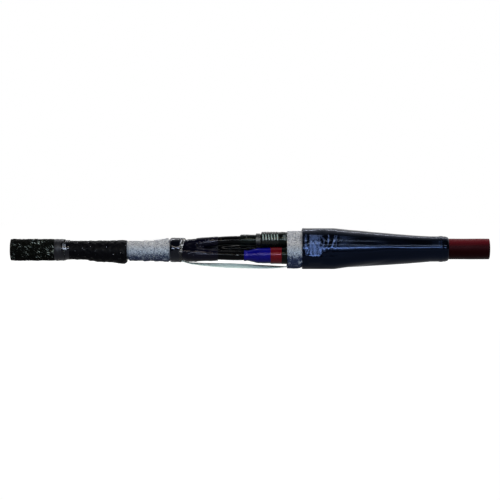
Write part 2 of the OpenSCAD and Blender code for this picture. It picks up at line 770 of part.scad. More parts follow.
module earth_braid() {
    half_steps = [for (i = [0:len(braid_route) - 2]) for (t = [0, 0.5])
        between(braid_route[i][0], braid_route[i + 1][0], t)];
    color([0.72, 0.78, 0.8]) bar_skin(
        [for (x = concat(half_steps, [last(braid_route)[0]]))
            braid_ring(x, route_at(x, 1), route_at(x, 2), route_at(x, 3))]
    );
}

// A steel band round the three screened cores and the end of the braid
module screen_roll_spring() {
    module around(r) {
        hull()
            for (p = body_spot)
                translate([-p[1], p[0]]) circle(r = r, $fn = 48);
    }
    color([0.7, 0.72, 0.75]) lay_x(322, [0, 0]) linear_extrude(18) difference() {
        around(screen_d / 2 + 1.2);
        around(screen_d / 2 + 0.2);
    }
}

// Polymer cable

module polymer_insulation(i) {
    from = connector_x + connector_len / 2 + 15;
    color([0.85, 0.85, 0.8])
        core_layer(i, from, half_len, polymer_core_d, polymer_wire_d, core_n);
}

module polymer_conductor(i) {
    color([0.75, 0.76, 0.78])
        core_bar(i, connector_x + web_t / 2, half_len, polymer_wire_d, core_n);
}

module core_screen(i) {
    color([0.7, 0.42, 0.26])
        core_layer(i, body_x1 - 16, half_len, screen_d, polymer_core_d, core_n);
}

module polymer_filler() {
    x0 = close_x1 + 10;
    color([0.2, 0.2, 0.2]) difference() {
        lay_x(x0, [0, polymer_z]) cylinder(d = filler_d, h = half_len - x0);
        for (p = polymer_spot)
            lay_x(x0 - over, p) cylinder(d = screen_d, h = half_len - x0 + 2 * over);
    }
}

module red_sheath() {
    x0 = close_x1 + 24;
    x1 = sleeve_x1 + 4;
    color([0.35, 0.03, 0.04]) {
        layer(x0, x1, sheath_d - 1, filler_d, [0, polymer_z]);
        layer(x1, half_len, sheath_d, filler_d, [0, polymer_z]);
    }
}

// One line for each node
jute_serving();
serving_binding();
steel_tape_armour();
armour_bedding();
lead_sheath();
belt_paper();
paper_filler();
armour_tape_wrap();
sheath_roll_spring();
sheath_padding();
sheath_mesh_wrap();
crotch_band();
breakout_boot();
crotch_mastic();
shear_bolts();
core_roll_spring();
ridged_tape();
mesh_band();
padding_wrap();
outer_sleeve();
sealing_mastic();
earth_braid();
screen_roll_spring();
polymer_filler();
red_sheath();

// One line for each node that every core has
for (i = [0:2]) {
    paper_insulation(i);
    paper_conductor(i);
    core_tube(i);
    stress_tube(i);
    insulating_tube(i);
    screened_tube(i);
    void_mastic(i);
    connector(i);
    polymer_insulation(i);
    polymer_conductor(i);
    core_screen(i);
}
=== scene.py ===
"""Dresses a transition cable joint: a served paper cable, its open breakout and cores, and the
glossy sleeve that runs down onto a red cable.

Every size is in millimetres and is turned into metres when a mesh is made. X runs along the
joint towards the red cable, Z is up, and the camera stands on the -Y side. An angle round a
cable is measured from +Y towards +Z, so 90 degrees is the top and 180 degrees faces the camera.
"""

import json
import logging
import math
from dataclasses import dataclass, field
from enum import Enum

import bpy
import numpy as np
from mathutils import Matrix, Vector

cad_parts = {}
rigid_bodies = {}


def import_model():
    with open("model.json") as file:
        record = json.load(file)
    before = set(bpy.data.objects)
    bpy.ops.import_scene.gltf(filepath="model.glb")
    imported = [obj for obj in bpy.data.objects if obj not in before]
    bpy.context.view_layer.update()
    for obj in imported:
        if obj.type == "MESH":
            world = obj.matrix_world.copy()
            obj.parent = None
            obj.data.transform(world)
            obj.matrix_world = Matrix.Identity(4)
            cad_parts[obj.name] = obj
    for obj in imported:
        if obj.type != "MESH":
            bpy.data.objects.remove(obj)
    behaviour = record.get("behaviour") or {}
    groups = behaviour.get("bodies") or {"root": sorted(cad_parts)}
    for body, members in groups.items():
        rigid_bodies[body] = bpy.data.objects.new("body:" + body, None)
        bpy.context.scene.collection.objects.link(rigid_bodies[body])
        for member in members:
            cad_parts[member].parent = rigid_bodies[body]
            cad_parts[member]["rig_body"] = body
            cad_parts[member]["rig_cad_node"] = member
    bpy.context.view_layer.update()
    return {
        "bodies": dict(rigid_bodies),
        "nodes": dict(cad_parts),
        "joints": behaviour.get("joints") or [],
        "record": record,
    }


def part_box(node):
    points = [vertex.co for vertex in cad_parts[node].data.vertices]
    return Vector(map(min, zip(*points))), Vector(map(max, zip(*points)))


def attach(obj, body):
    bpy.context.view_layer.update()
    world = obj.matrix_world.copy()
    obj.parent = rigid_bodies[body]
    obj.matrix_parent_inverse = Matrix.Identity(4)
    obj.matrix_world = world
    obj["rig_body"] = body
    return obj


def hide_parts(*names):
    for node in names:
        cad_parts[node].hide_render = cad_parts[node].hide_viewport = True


MM = 0.001
ROOT = "root"
CORES = ("top", "front", "rear")
WHITE = (1.0, 1.0, 1.0)
LOG = logging.getLogger("cable_joint")
Array = np.ndarray
Value = np.ndarray | float
Triple = tuple[float, float, float]
Piece = bpy.types.Object
Socket = bpy.types.NodeSocket


def share(value: Value, start: float, end: float) -> Value:
    """How far a value has come from start to end, held between 0 and 1."""
    return np.clip((value - start) / (end - start), 0.0, 1.0)


def ease(t: Value) -> Value:
    """A share with a soft start and end: 3t^2 - 2t^3."""
    return t * t * (3.0 - 2.0 * t)


def between(a: Value, b: Value, t: Value) -> Value:
    """The value a share t of the way from a to b."""
    return a + (b - a) * t


def run_out(t: Value, power: float) -> Value:
    """A taper that is steep at first and runs out level: 1 - (1 - t)^power."""
    return 1.0 - (1.0 - t) ** power


def steps(x0: float, x1: float, pitch: float) -> Array:
    """Even places from x0 to x1, about one pitch apart."""
    return np.linspace(x0, x1, max(2, int(round((x1 - x0) / pitch)) + 1))


def circle(count: int) -> Array:
    """Angles of count points round a circle, in radians."""
    return np.arange(count) * (2.0 * np.pi / count)


def hump(value: Value, middle: float, width: float) -> Value:
    """A bell of height 1 at the middle: exp(-(distance / width)^2)."""
    return np.exp(-(((value - middle) / width) ** 2))


@dataclass(frozen=True)
class Ripple:
    """Seeded unevenness of a wrapped or shrunk surface, as a sum of waves.

    Each wave is cos(m * angle + k * x + phase), with a whole number m of waves round the piece
    and a wavelength along it, so the pattern closes on itself round every ring.
    """

    seed: int
    height: float
    around: tuple[int, int]
    along: tuple[float, float]
    count: int = 24

    def at(self, x: Array, angle: Array) -> Array:
        """Height of the ripple.

        Args:
            x: places along the piece, in millimetres: a row of them, or one for each point.
            angle: angles round it, in radians, as a row or one for each point.

        Returns:
            Heights in millimetres, with a spread of about self.height.
        """
        x = x[:, None] if x.ndim == 1 else x
        draw = np.random.default_rng(self.seed)
        waves = draw.integers(self.around[0], self.around[1] + 1, self.count)
        waves = waves * draw.choice((-1, 1), self.count)
        pitch = draw.uniform(self.along[0], self.along[1], self.count)
        phase = draw.uniform(0.0, 2.0 * np.pi, self.count)
        total = np.zeros(np.broadcast(x, angle).shape)
        for m, p, f in zip(waves, pitch, phase):
            total = total + np.cos(m * angle + 2.0 * np.pi * x / p + f)
        return self.height * total * math.sqrt(2.0 / self.count)

    def creases(self, x: Array, angle: Array, sharpness: float = 0.35) -> Array:
        """Thin raised lines where the ripple passes zero: height * exp(-(n / sharpness)^2)."""
        return self.height * hump(self.at(x, angle) / self.height, 0.0, sharpness)


@dataclass(frozen=True)
class Span:
    """Where a round CAD node lies, in millimetres: its ends along X, its height and its radius."""

    x0: float
    x1: float
    z: float
    radius: float

    @classmethod
    def of(cls, node: str) -> "Span":
        """Reads the span of a CAD node from its box."""
        low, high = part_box(node)
        return cls(low.x / MM, high.x / MM, (low.z + high.z) / 2 / MM, (high.z - low.z) / 2 / MM)

    def places(self, pitch: float, past: float = 0.0) -> Array:
        """Even places along the span and a little past its end, about one pitch apart."""
        return steps(self.x0, self.x1 + past, pitch)


def rings(x: Array, radius: Value, angles: Array, y: Value = 0.0, z: Value = 0.0) -> Array:
    """Rings across X.

    A point lies at (x, y + radius * cos(angle), z + radius * sin(angle)).

    Args:
        x: places along the piece, one for each ring.
        radius: radius of each ring, or of each ring and angle.
        angles: angles round the ring.
        y: middle of each ring across the view.
        z: height of the middle of each ring.

    Returns:
        An array of rings x angles x 3 points.
    """
    size = (len(x), len(angles))
    radius = np.broadcast_to(radius if np.ndim(radius) == 2 else np.reshape(radius, (-1, 1)), size)
    mid_y = np.broadcast_to(np.reshape(y, (-1, 1)), size)
    mid_z = np.broadcast_to(np.reshape(z, (-1, 1)), size)
    across = mid_y + radius * np.cos(angles)
    height = mid_z + radius * np.sin(angles)
    return np.stack([np.broadcast_to(x[:, None], size), across, height], axis=-1)


def bevelled(profile: Array, cut: float) -> Array:
    """A closed outline with each corner cut by up to the given length, and then by half of it.

    A corner p between its neighbours a and b becomes two points, each on the way to a
    neighbour by the smaller of the cut and 0.3 of that side's length.

    Args:
        profile: the outline's points.
        cut: the longest cut, in millimetres.

    Returns:
        The outline with four points for each one given.
    """
    for length in (cut, cut / 2):
        points = []
        for side in (1, -1):
            toward = np.roll(profile, side, axis=0) - profile
            size = np.linalg.norm(toward, axis=1, keepdims=True)
            points.append(profile + toward / size * np.minimum(length, 0.3 * size))
        profile = np.stack(points, axis=1).reshape(-1, 2)
    return profile


def refined(profile: Array, pitch: float) -> Array:
    """A closed outline with extra points, so that none is further than the pitch from the next.

    Args:
        profile: the outline's points.
        pitch: the longest step between two points, in millimetres.

    Returns:
        The outline's own points and the new ones, in order.
    """
    loop = np.concatenate([profile, profile[:1]])
    run = np.concatenate([[0.0], np.cumsum(np.linalg.norm(np.diff(loop, axis=0), axis=1))])
    marks = np.unique(np.concatenate([run, np.arange(0.0, run[-1], pitch)]))[:-1]
    marks = marks[np.concatenate([[True], np.diff(marks) > 0.05])]
    return np.stack([np.interp(marks, run, loop[:, k]) for k in (0, 1)], axis=-1)


class Close(Enum):
    """How a grid of points is closed into a solid skin."""

    TORUS = "the last row joins the first, and the last column joins the first"
    BAR = "the last column joins the first, and each end row is filled"


def make_piece(name: str, grid: Array, close: Close, sharp: float = 40.0) -> Piece:
    """Turns a grid of points into a smooth mesh object.

    Faces run from row to row, with a UV map that holds metres along the rows and metres round
    the columns. The faces are turned outwards by the sign of the enclosed volume.

    Args:
        name: the object's name.
        grid: rows x columns x 3 points, in millimetres.
        close: how the grid closes.
        sharp: edges that turn by more than this, in degrees, stay crisp.

    Returns:
        The linked object, with its place in its mesh.
    """
    rows, cols = grid.shape[:2]
    torus = close is Close.TORUS
    grid = grid * MM
    points = grid.reshape(-1, 3)
    row, col = np.meshgrid(np.arange(rows if torus else rows - 1), np.arange(cols), indexing="ij")
    corner_row = np.stack([row, row, row + 1, row + 1], axis=-1).reshape(-1, 4)
    corner_col = np.stack([col, col + 1, col + 1, col], axis=-1).reshape(-1, 4)
    quads = (corner_row % rows) * cols + corner_col % cols
    loop = np.concatenate([grid, grid[:1]])
    row_step = np.linalg.norm(np.diff(loop, axis=0), axis=2).mean(axis=1)
    round_step = np.linalg.norm(np.roll(loop, -1, axis=1) - loop, axis=2).mean(axis=0)
    along, across = (np.concatenate([[0.0], np.cumsum(step)]) for step in (row_step, round_step))
    uv = np.stack([along[corner_row], across[corner_col]], axis=-1).reshape(-1, 2)
    corners, sizes = quads.reshape(-1), np.full(len(quads), 4)
    if not torus:
        ends = np.stack([np.arange(cols)[::-1], (rows - 1) * cols + np.arange(cols)]).reshape(-1)
        corners = np.concatenate([corners, ends])
        sizes = np.concatenate([sizes, [cols, cols]])
        uv = np.concatenate([uv, points[ends][:, 1:]])
    a, b, c, d = (points[quads[:, k]] for k in range(4))
    volume = (a * (np.cross(b, c) + np.cross(c, d))).sum()
    starts = np.concatenate([[0], np.cumsum(sizes)[:-1]])
    mesh = bpy.data.meshes.new(name)
    mesh.vertices.add(len(points))
    mesh.vertices.foreach_set("co", points.astype(np.float32).ravel())
    mesh.loops.add(len(corners))
    mesh.loops.foreach_set("vertex_index", corners.astype(np.int32))
    mesh.polygons.add(len(sizes))
    mesh.polygons.foreach_set("loop_start", starts.astype(np.int32))
    mesh.uv_layers.new(name="UVMap").data.foreach_set("uv", uv.astype(np.float32).ravel())
    mesh.update(calc_edges=True)
    mesh.validate()
    if volume < 0:
        mesh.flip_normals()
    mesh.shade_smooth()
    mesh.set_sharp_from_angle(angle=math.radians(sharp))
    piece = bpy.data.objects.new(name, mesh)
    bpy.context.scene.collection.objects.link(piece)
    return piece


def make_wall(name: str, outer: Array, inner: Array, sharp: float = 40.0) -> Piece:
    """A piece whose skin runs along an outer surface and back along its bore."""
    return make_piece(name, np.concatenate([outer, inner[::-1]]), Close.TORUS, sharp)


def merged(name: str, pieces: list[Piece]) -> Piece:
    """Joins several like pieces into one object.

    Args:
        name: the object's name.
        pieces: the pieces, of which the first takes up the others.

    Returns:
        The one object.
    """
    with bpy.context.temp_override(active_object=pieces[0], selected_editable_objects=pieces):
        bpy.ops.object.join()
    pieces[0].name = name
    pieces[0].data.name = name
    return pieces[0]


class Nodes:
    """A node tree under construction."""

    def __init__(self, tree: bpy.types.NodeTree) -> None:
        """Keeps the tree that nodes are added to."""
        self.tree = tree

    def add(self, kind: str, **settings: object) -> bpy.types.Node:
        """Adds a node and sets its properties."""
        node = self.tree.nodes.new(kind)
        for key, value in settings.items():
            setattr(node, key, value)
        return node

    def feed(self, node: bpy.types.Node, **inputs: object) -> bpy.types.Node:
        """Sets or links a node's inputs. A colour is given as three numbers and gets a full alpha.

        Args:
            node: the node.
            inputs: a value or socket for each input, by its name with _ for a space, or by inN for
                input number N.

        Returns:
            The same node.
        """
        for key, value in inputs.items():
            numbered = key[:2] == "in" and key[2:].isdigit()
            socket = node.inputs[int(key[2:]) if numbered else key.replace("_", " ")]
            if isinstance(value, Socket):
                self.tree.links.new(value, socket)
            else:
                socket.default_value = (*value, 1.0) if socket.type == "RGBA" else value
        return node

    def math(self, operation: str, *values: object) -> Socket:
        """One arithmetic step on numbers or sockets."""
        node = self.add("ShaderNodeMath", operation=operation)
        return self.feed(node, **{f"in{k}": v for k, v in enumerate(values)}).outputs[0]

    def times(self, first: object, second: object) -> Socket:
        """The product of two numbers or sockets."""
        return self.math("MULTIPLY", first, second)

    def tent(self, value: Socket) -> Socket:
        """A ridge over each whole step of a value: 1 - 2 * |fract(value) - 0.5|."""
        part = self.math("ABSOLUTE", self.math("SUBTRACT", self.math("FRACT", value), 0.5))
        return self.math("SUBTRACT", 1.0, self.times(part, 2.0))

    def axis(self, where: Socket, index: int) -> Socket:
        """One coordinate of a place or direction, 0 to 2 for X to Z."""
        return self.feed(self.add("ShaderNodeSeparateXYZ"), Vector=where).outputs[index]

    def curve(self, value: Socket, low: float, high: float, out_low: float = 0.0,
              out_high: float = 1.0) -> Socket:
        """A value mapped from one range to another and held there.

        Args:
            value: the value's socket.
            low: where the first range starts.
            high: where it ends.
            out_low: where the second range starts.
            out_high: where it ends.

        Returns:
            The mapped value.
        """
        node = self.add("ShaderNodeMapRange")
        self.feed(node, Value=value, From_Min=low, From_Max=high, To_Min=out_low, To_Max=out_high)
        return node.outputs[0]


class Shader(Nodes):
    """A material under construction: its shader and the patterns wired into it."""

    def __init__(self, name: str) -> None:
        """Starts a material with one Principled shader."""
        self.material = bpy.data.materials.new(name)
        self.material.use_nodes = True
        super().__init__(self.material.node_tree)
        self.bsdf = self.tree.nodes["Principled BSDF"]
        self.where = self.add("ShaderNodeTexCoord")
        self.place = self.where.outputs["Object"]
        self.bump_normal = None

    def mapped(self, coordinates: str, scale: Triple, turn: float = 0.0) -> Socket:
        """Texture coordinates, turned in the plane of the first two and scaled.

        Args:
            coordinates: Object or UV.
            scale: the scale along each axis.
            turn: the angle, in radians.

        Returns:
            The coordinates.
        """
        node = self.add("ShaderNodeMapping")
        self.feed(node, Vector=self.where.outputs[coordinates], Scale=scale, Rotation=(0.0, 0.0, turn))
        return node.outputs[0]

    def noise(self, vector: Socket, scale: float, detail: float = 4.0, roughness: float = 0.6,
              distortion: float = 0.0) -> Socket:
        """Cloudy noise.

        Args:
            vector: the coordinates it is drawn on.
            scale: how fine it is.
            detail: how many layers of finer noise it has.
            roughness: how strong the finer layers are.
            distortion: how far it is swirled.

        Returns:
            A value between 0 and 1.
        """
        node = self.add("ShaderNodeTexNoise")
        self.feed(node, Vector=vector, Scale=scale, Detail=detail, Roughness=roughness, Distortion=distortion)
        return node.outputs["Fac"]

    def blend(self, fac: Socket, first: Triple | Socket, second: Triple | Socket) -> Socket:
        """A colour between two colours.

        Args:
            fac: the share of the second colour.
            first: the first colour or its socket.
            second: the second colour or its socket.

        Returns:
            The mixed colour.
        """
        node = self.add("ShaderNodeMix", data_type="RGBA")
        return self.feed(node, in0=fac, in6=first, in7=second).outputs[2]

    def bump(self, height: Socket, depth: float) -> None:
        """Adds a bump on top of those already there.

        Args:
            height: the pattern, between 0 and 1.
            depth: its depth, in millimetres.
        """
        node = self.feed(self.add("ShaderNodeBump"), Height=height, Distance=depth * MM, Strength=1.0)
        if self.bump_normal is not None:
            self.feed(node, Normal=self.bump_normal)
        self.bump_normal = node.outputs[0]

    def finish(self, colour: Triple | Socket, roughness: object, **constants: object) -> bpy.types.Material:
        """Wires the colour, roughness and bump into the shader, and sets its constant sockets.

        Args:
            colour: the base colour or its socket.
            roughness: a number or a socket.
            constants: values for the shader's other sockets.

        Returns:
            The finished material.
        """
        self.feed(self.bsdf, Base_Color=colour, Roughness=roughness, **constants)
        if self.bump_normal is not None:
            self.feed(self.bsdf, Normal=self.bump_normal)
        return self.material


@dataclass(frozen=True)
class ShrinkFinish:
    """Glossy heat-shrunk plastic: faint clouds of colour, fine orange peel and drawn-out wrinkles."""

    name: str
    colour: Triple
    cloud: Triple
    roughness: float = 0.16
    gloss: float = 0.22
    glint: Triple = WHITE
    peel_depth: float = 0.05
    wrinkle_depth: float = 0.25
    stretch: Triple = (0.25, 1.0, 1.0)
    smudge: float = 0.12
    dull_before: float = -1.0

    def build(self) -> bpy.types.Material:
        """Makes the material, duller to the left of the place dull_before along X."""
        s = Shader(self.name)
        dull = s.curve(s.axis(s.place, 0), self.dull_before, self.dull_before + 0.004, 0.35, 0.0)
        drawn = s.mapped("Object", self.stretch)
        colour = s.blend(s.curve(s.noise(s.place, 22.0, 5.0), 0.42, 0.66), self.colour, self.cloud)
        rough = s.curve(s.noise(drawn, 70.0, 6.0), 0.35, 0.7, self.roughness, self.roughness + self.smudge)
        s.bump(s.noise(drawn, 60.0, 3.0, 0.5, 0.6), self.wrinkle_depth)
        s.bump(s.noise(s.place, 420.0, 2.0), self.peel_depth)
        return s.finish(colour, s.math("ADD", rough, dull), Specular_IOR_Level=self.gloss,
                        Specular_Tint=self.glint)


@dataclass(frozen=True)
class TapeFinish:
    """Lapped bitumen or rubber tape: crumpled, with small facets and pale specks painted in as glints."""

    name: str
    colour: Triple
    roughness: float = 0.3
    gloss: float = 0.05
    facet_scale: float = 150.0
    facet_depth: float = 0.3
    painted_glint: Triple = (0.5, 0.52, 0.6)
    painted_glint_share: float = 0.04
    painted_glint_scale: float = 230.0
    painted_glint_heights: tuple[float, float] = (-0.002, -0.001)

    def build(self) -> bpy.types.Material:
        """Makes the material, with painted glints that fade in over the heights given for them."""
        s = Shader(self.name)
        facets = s.feed(s.add("ShaderNodeTexVoronoi"), Vector=s.place, Scale=self.facet_scale)
        # Painted glints: sparse pale specks, faded in by height.
        painted_glints = s.noise(s.place, self.painted_glint_scale, 2.0)
        painted_glints = s.curve(painted_glints, 0.76 - self.painted_glint_share, 0.8 - self.painted_glint_share)
        painted_glints = s.times(painted_glints, s.curve(s.axis(s.place, 2), *self.painted_glint_heights))
        colour = s.blend(painted_glints, self.colour, self.painted_glint)
        rough = s.curve(s.noise(s.place, 90.0, 5.0), 0.35, 0.65, self.roughness, self.roughness + 0.3)
        s.bump(facets.outputs["Distance"], self.facet_depth)
        s.bump(s.noise(s.place, 900.0, 3.0), 0.08)
        return s.finish(colour, rough, Specular_IOR_Level=self.gloss)


@dataclass(frozen=True)
class JuteFinish:
    """Jute yarns soaked in bitumen: dark, with pale strokes along the drawn-out fibres painted in as glints.
    """

    name: str
    tar: Triple
    # The fibre colour is the colour of the painted glints along the fibres.
    fibre: Triple
    slant: float = -40.0
    stretch: Triple = (70.0, 380.0, 1.0)

    def build(self) -> bpy.types.Material:
        """Makes the material."""
        s = Shader(self.name)
        turned = s.mapped("UV", (1.0, 1.0, 1.0), math.radians(self.slant))
        fibres = s.feed(s.add("ShaderNodeMapping"), Vector=turned, Scale=self.stretch)
        threads = s.noise(fibres.outputs[0], 1.0, 2.0, 0.6, 0.9)
        patches = s.noise(s.place, 42.0, 3.0)
        # Painted highlight: pale fibre strokes where threads and patches meet, standing in for glints on the
        # yarns.
        bare = s.times(s.curve(threads, 0.6, 0.7), s.curve(patches, 0.47, 0.6))
        s.bump(threads, 0.35)
        s.bump(s.noise(s.place, 260.0, 4.0), 0.4)
        return s.finish(s.blend(bare, self.tar, self.fibre), s.curve(patches, 0.3, 0.7, 0.38, 0.85),
                        Specular_IOR_Level=0.03)


@dataclass(frozen=True)
class KnitFinish:
    """Knitted tinned wire: rows of loops, bright on the wires and dark between them.

    Low on the side, below the heights under, more dark gaps are painted in as painted shade, and the wire is
    painted a cooler blue there as painted light.
    """

    name: str
    wire: Triple
    painted_cool_light: Triple
    gap: Triple
    pitch: float = 3.4
    roughness: float = 0.42
    metallic: float = 0.5
    under: tuple[float, float] = (0.028, 0.052)
    painted_cool_reach: float = 0.022

    def build(self) -> bpy.types.Material:
        """Makes the material.

        Each loop is a wave across the row: the wire's height is high where
        fract(u + 0.32 * cos(2 pi v)) is near a half, and the rows alternate.
        """
        s = Shader(self.name)
        loops = s.mapped("UV", (1.0 / (self.pitch * MM), 1.0 / (self.pitch * MM), 1.0))
        crumple = s.times(s.noise(s.place, 45.0, 2.0), 1.4)
        u, v = s.math("ADD", s.axis(loops, 0), crumple), s.axis(loops, 1)
        row = s.tent(s.math("ADD", u, s.times(s.math("COSINE", s.times(v, 2.0 * math.pi)), 0.32)))
        leg = s.times(s.curve(s.tent(s.times(v, 2.0)), 0.55, 0.95), 0.7)
        uneven = s.noise(s.place, 240.0, 3.0)
        height = s.math("MAXIMUM", s.curve(row, 0.45, 0.9), leg)
        height = s.times(height, s.curve(uneven, 0.2, 0.7, 0.5, 1.1))
        level = s.axis(s.place, 2)
        low, high = self.under
        clouds = s.curve(s.noise(s.place, 60.0, 4.0), 0.3, 0.6, 0.06, 0.26)
        # Painted shade: more dark gaps are painted in below the heights under.
        patches = s.times(s.curve(level, high, low), clouds)
        open_knit_and_painted_shade = s.math("ADD", s.noise(s.place, 320.0, 4.0, 0.8), patches)
        shade = s.times(s.curve(open_knit_and_painted_shade, 0.46, 0.64, 1.15, 0.04),
                        s.curve(s.noise(s.place, 40.0, 4.0), 0.3, 0.7, 0.8, 1.1))
        bright = s.times(s.math("ADD", s.times(height, 0.5), 0.5), shade)
        # Painted light: below the upper heights the wire is painted a cooler blue, for a bluish front light.
        wire = s.blend(s.curve(level, high + self.painted_cool_reach, high), self.wire, self.painted_cool_light)
        s.bump(height, 0.7)
        rough = s.curve(uneven, 0.3, 0.7, self.roughness, self.roughness + 0.2)
        return s.finish(s.blend(bright, self.gap, wire), rough, Metallic=self.metallic,
                        Specular_IOR_Level=0.12)


@dataclass(frozen=True)
class PlaitFinish:
    """Fine wires of a flat plait, laid along the slanting bundles."""

    name: str
    wire: Triple
    gap: Triple
    wire_pitch: float = 0.45
    slant: float = 32.0

    def build(self) -> bpy.types.Material:
        """Makes the material."""
        s = Shader(self.name)
        lines = s.mapped("UV", (1.0 / (self.wire_pitch * MM),) * 2 + (1.0,), math.radians(self.slant))
        waves = s.add("ShaderNodeTexWave", wave_type="BANDS", bands_direction="Y")
        s.feed(waves, Vector=lines, Scale=0.32, Distortion=1.2, Detail=2.0)
        tone = s.noise(s.place, 120.0, 5.0)
        bright = s.times(s.curve(waves.outputs["Fac"], 0.1, 0.8, 0.6, 1.0), s.curve(tone, 0.3, 0.7, 0.8, 1.1))
        s.bump(waves.outputs["Fac"], 0.12)
        return s.finish(s.blend(bright, self.gap, self.wire), s.curve(tone, 0.3, 0.7, 0.45, 0.6),
                        Metallic=0.08)


@dataclass(frozen=True)
class RidgeFinish:
    """Dark lapped tape with a painted highlight on its ridges along the upper side.

    The ridges are found as |sin(pi * phase)|, with the phase growing along X and leaning as the
    ridges of the piece do: phase = (place - first) . steep, in metres.
    """

    name: str
    valley: Triple
    crest_highlight: Triple
    first: Triple = (0.035, 0.0, 0.0852)
    steep: Triple = (116.3, 3.33, 7.88)
    painted_highlight_heights: tuple[float, float] = (0.0855, 0.091)
    painted_highlight_end: tuple[float, float] = (0.107, 0.102)

    def build(self) -> bpy.types.Material:
        """Makes the material."""
        s = Shader(self.name)
        offset = s.feed(s.add("ShaderNodeVectorMath", operation="SUBTRACT"), in0=s.place, in1=self.first)
        phase = s.feed(s.add("ShaderNodeVectorMath", operation="DOT_PRODUCT"), in0=offset.outputs[0],
                       in1=self.steep)
        wave = s.math("ABSOLUTE", s.math("SINE", s.times(phase.outputs["Value"], math.pi)))
        level = s.axis(s.place, 2)
        # Painted highlight: the ridge crests turn pale only in a band of heights on the upper side.
        upper = s.times(s.curve(level, *self.painted_highlight_heights), s.curve(level, *self.painted_highlight_end))
        grain = s.curve(s.noise(s.place, 300.0, 4.0), 0.35, 0.6, 0.5, 1.0)
        painted_crest_highlight = s.times(s.times(s.curve(wave, 0.62, 0.95), upper), grain)
        s.bump(s.noise(s.place, 420.0, 2.0), 0.03)
        return s.finish(s.blend(painted_crest_highlight, self.valley, self.crest_highlight), s.curve(grain, 0.5, 1.0, 0.3, 0.2),
                        Specular_IOR_Level=0.3)


@dataclass(frozen=True)
class SheathFinish:
    """Dull extruded sheath, painted nearly black below as painted shade and a clearer red along its top as
    painted light.
    """

    name: str
    painted_shade_red: Triple
    painted_lit_red: Triple
    glint: Triple = (1.0, 0.3, 0.4)
    painted_light_heights: tuple[float, float] = (0.069, 0.094)
    stretch: Triple = (0.04, 1.0, 1.0)

    def build(self) -> bpy.types.Material:
        """Makes the material."""
        s = Shader(self.name)
        drawn = s.mapped("Object", self.stretch)
        uneven = s.times(s.math("SUBTRACT", s.noise(drawn, 60.0, 4.0), 0.5), 0.014)
        height = s.math("ADD", s.axis(s.place, 2), uneven)
        s.bump(s.noise(drawn, 90.0, 3.0), 0.08)
        rough = s.curve(s.noise(drawn, 70.0, 5.0), 0.35, 0.7, 0.4, 0.55)
        # Painted light and shade: a clearer red along the top and nearly black below, chosen by height.
        return s.finish(s.blend(s.curve(height, *self.painted_light_heights), self.painted_shade_red, self.painted_lit_red), rough,
                        Specular_IOR_Level=0.1, Specular_Tint=self.glint)


@dataclass(frozen=True)
class MetalFinish:
    """Bare metal with drawn streaks and a dull bloom."""

    name: str
    colour: Triple
    dull: Triple
    roughness: float = 0.3
    stretch: Triple = (1.0, 1.0, 1.0)

    def build(self) -> bpy.types.Material:
        """Makes the material."""
        s = Shader(self.name)
        streaks = s.noise(s.mapped("Object", self.stretch), 400.0, 3.0)
        bloom = s.noise(s.place, 70.0, 6.0)
        rough = s.curve(streaks, 0.3, 0.7, self.roughness, self.roughness + 0.22)
        s.bump(streaks, 0.04)
        return s.finish(s.blend(s.curve(bloom, 0.4, 0.7), self.colour, self.dull), rough, Metallic=1.0)


@dataclass(frozen=True)
class FillerFinish:
    """A dull filling: paper, mastic or extruded rubber, with grain and pores."""

    name: str
    colour: Triple
    shade: Triple
    roughness: float = 0.7
    gloss: float = 0.3

    def build(self) -> bpy.types.Material:
        """Makes the material."""
        s = Shader(self.name)
        grain = s.noise(s.place, 500.0, 4.0)
        colour = s.blend(s.curve(s.noise(s.place, 110.0, 5.0), 0.35, 0.68), self.colour, self.shade)
        rough = s.curve(grain, 0.3, 0.7, self.roughness, min(1.0, self.roughness + 0.2))
        s.bump(grain, 0.15)
        return s.finish(colour, rough, Specular_IOR_Level=self.gloss)


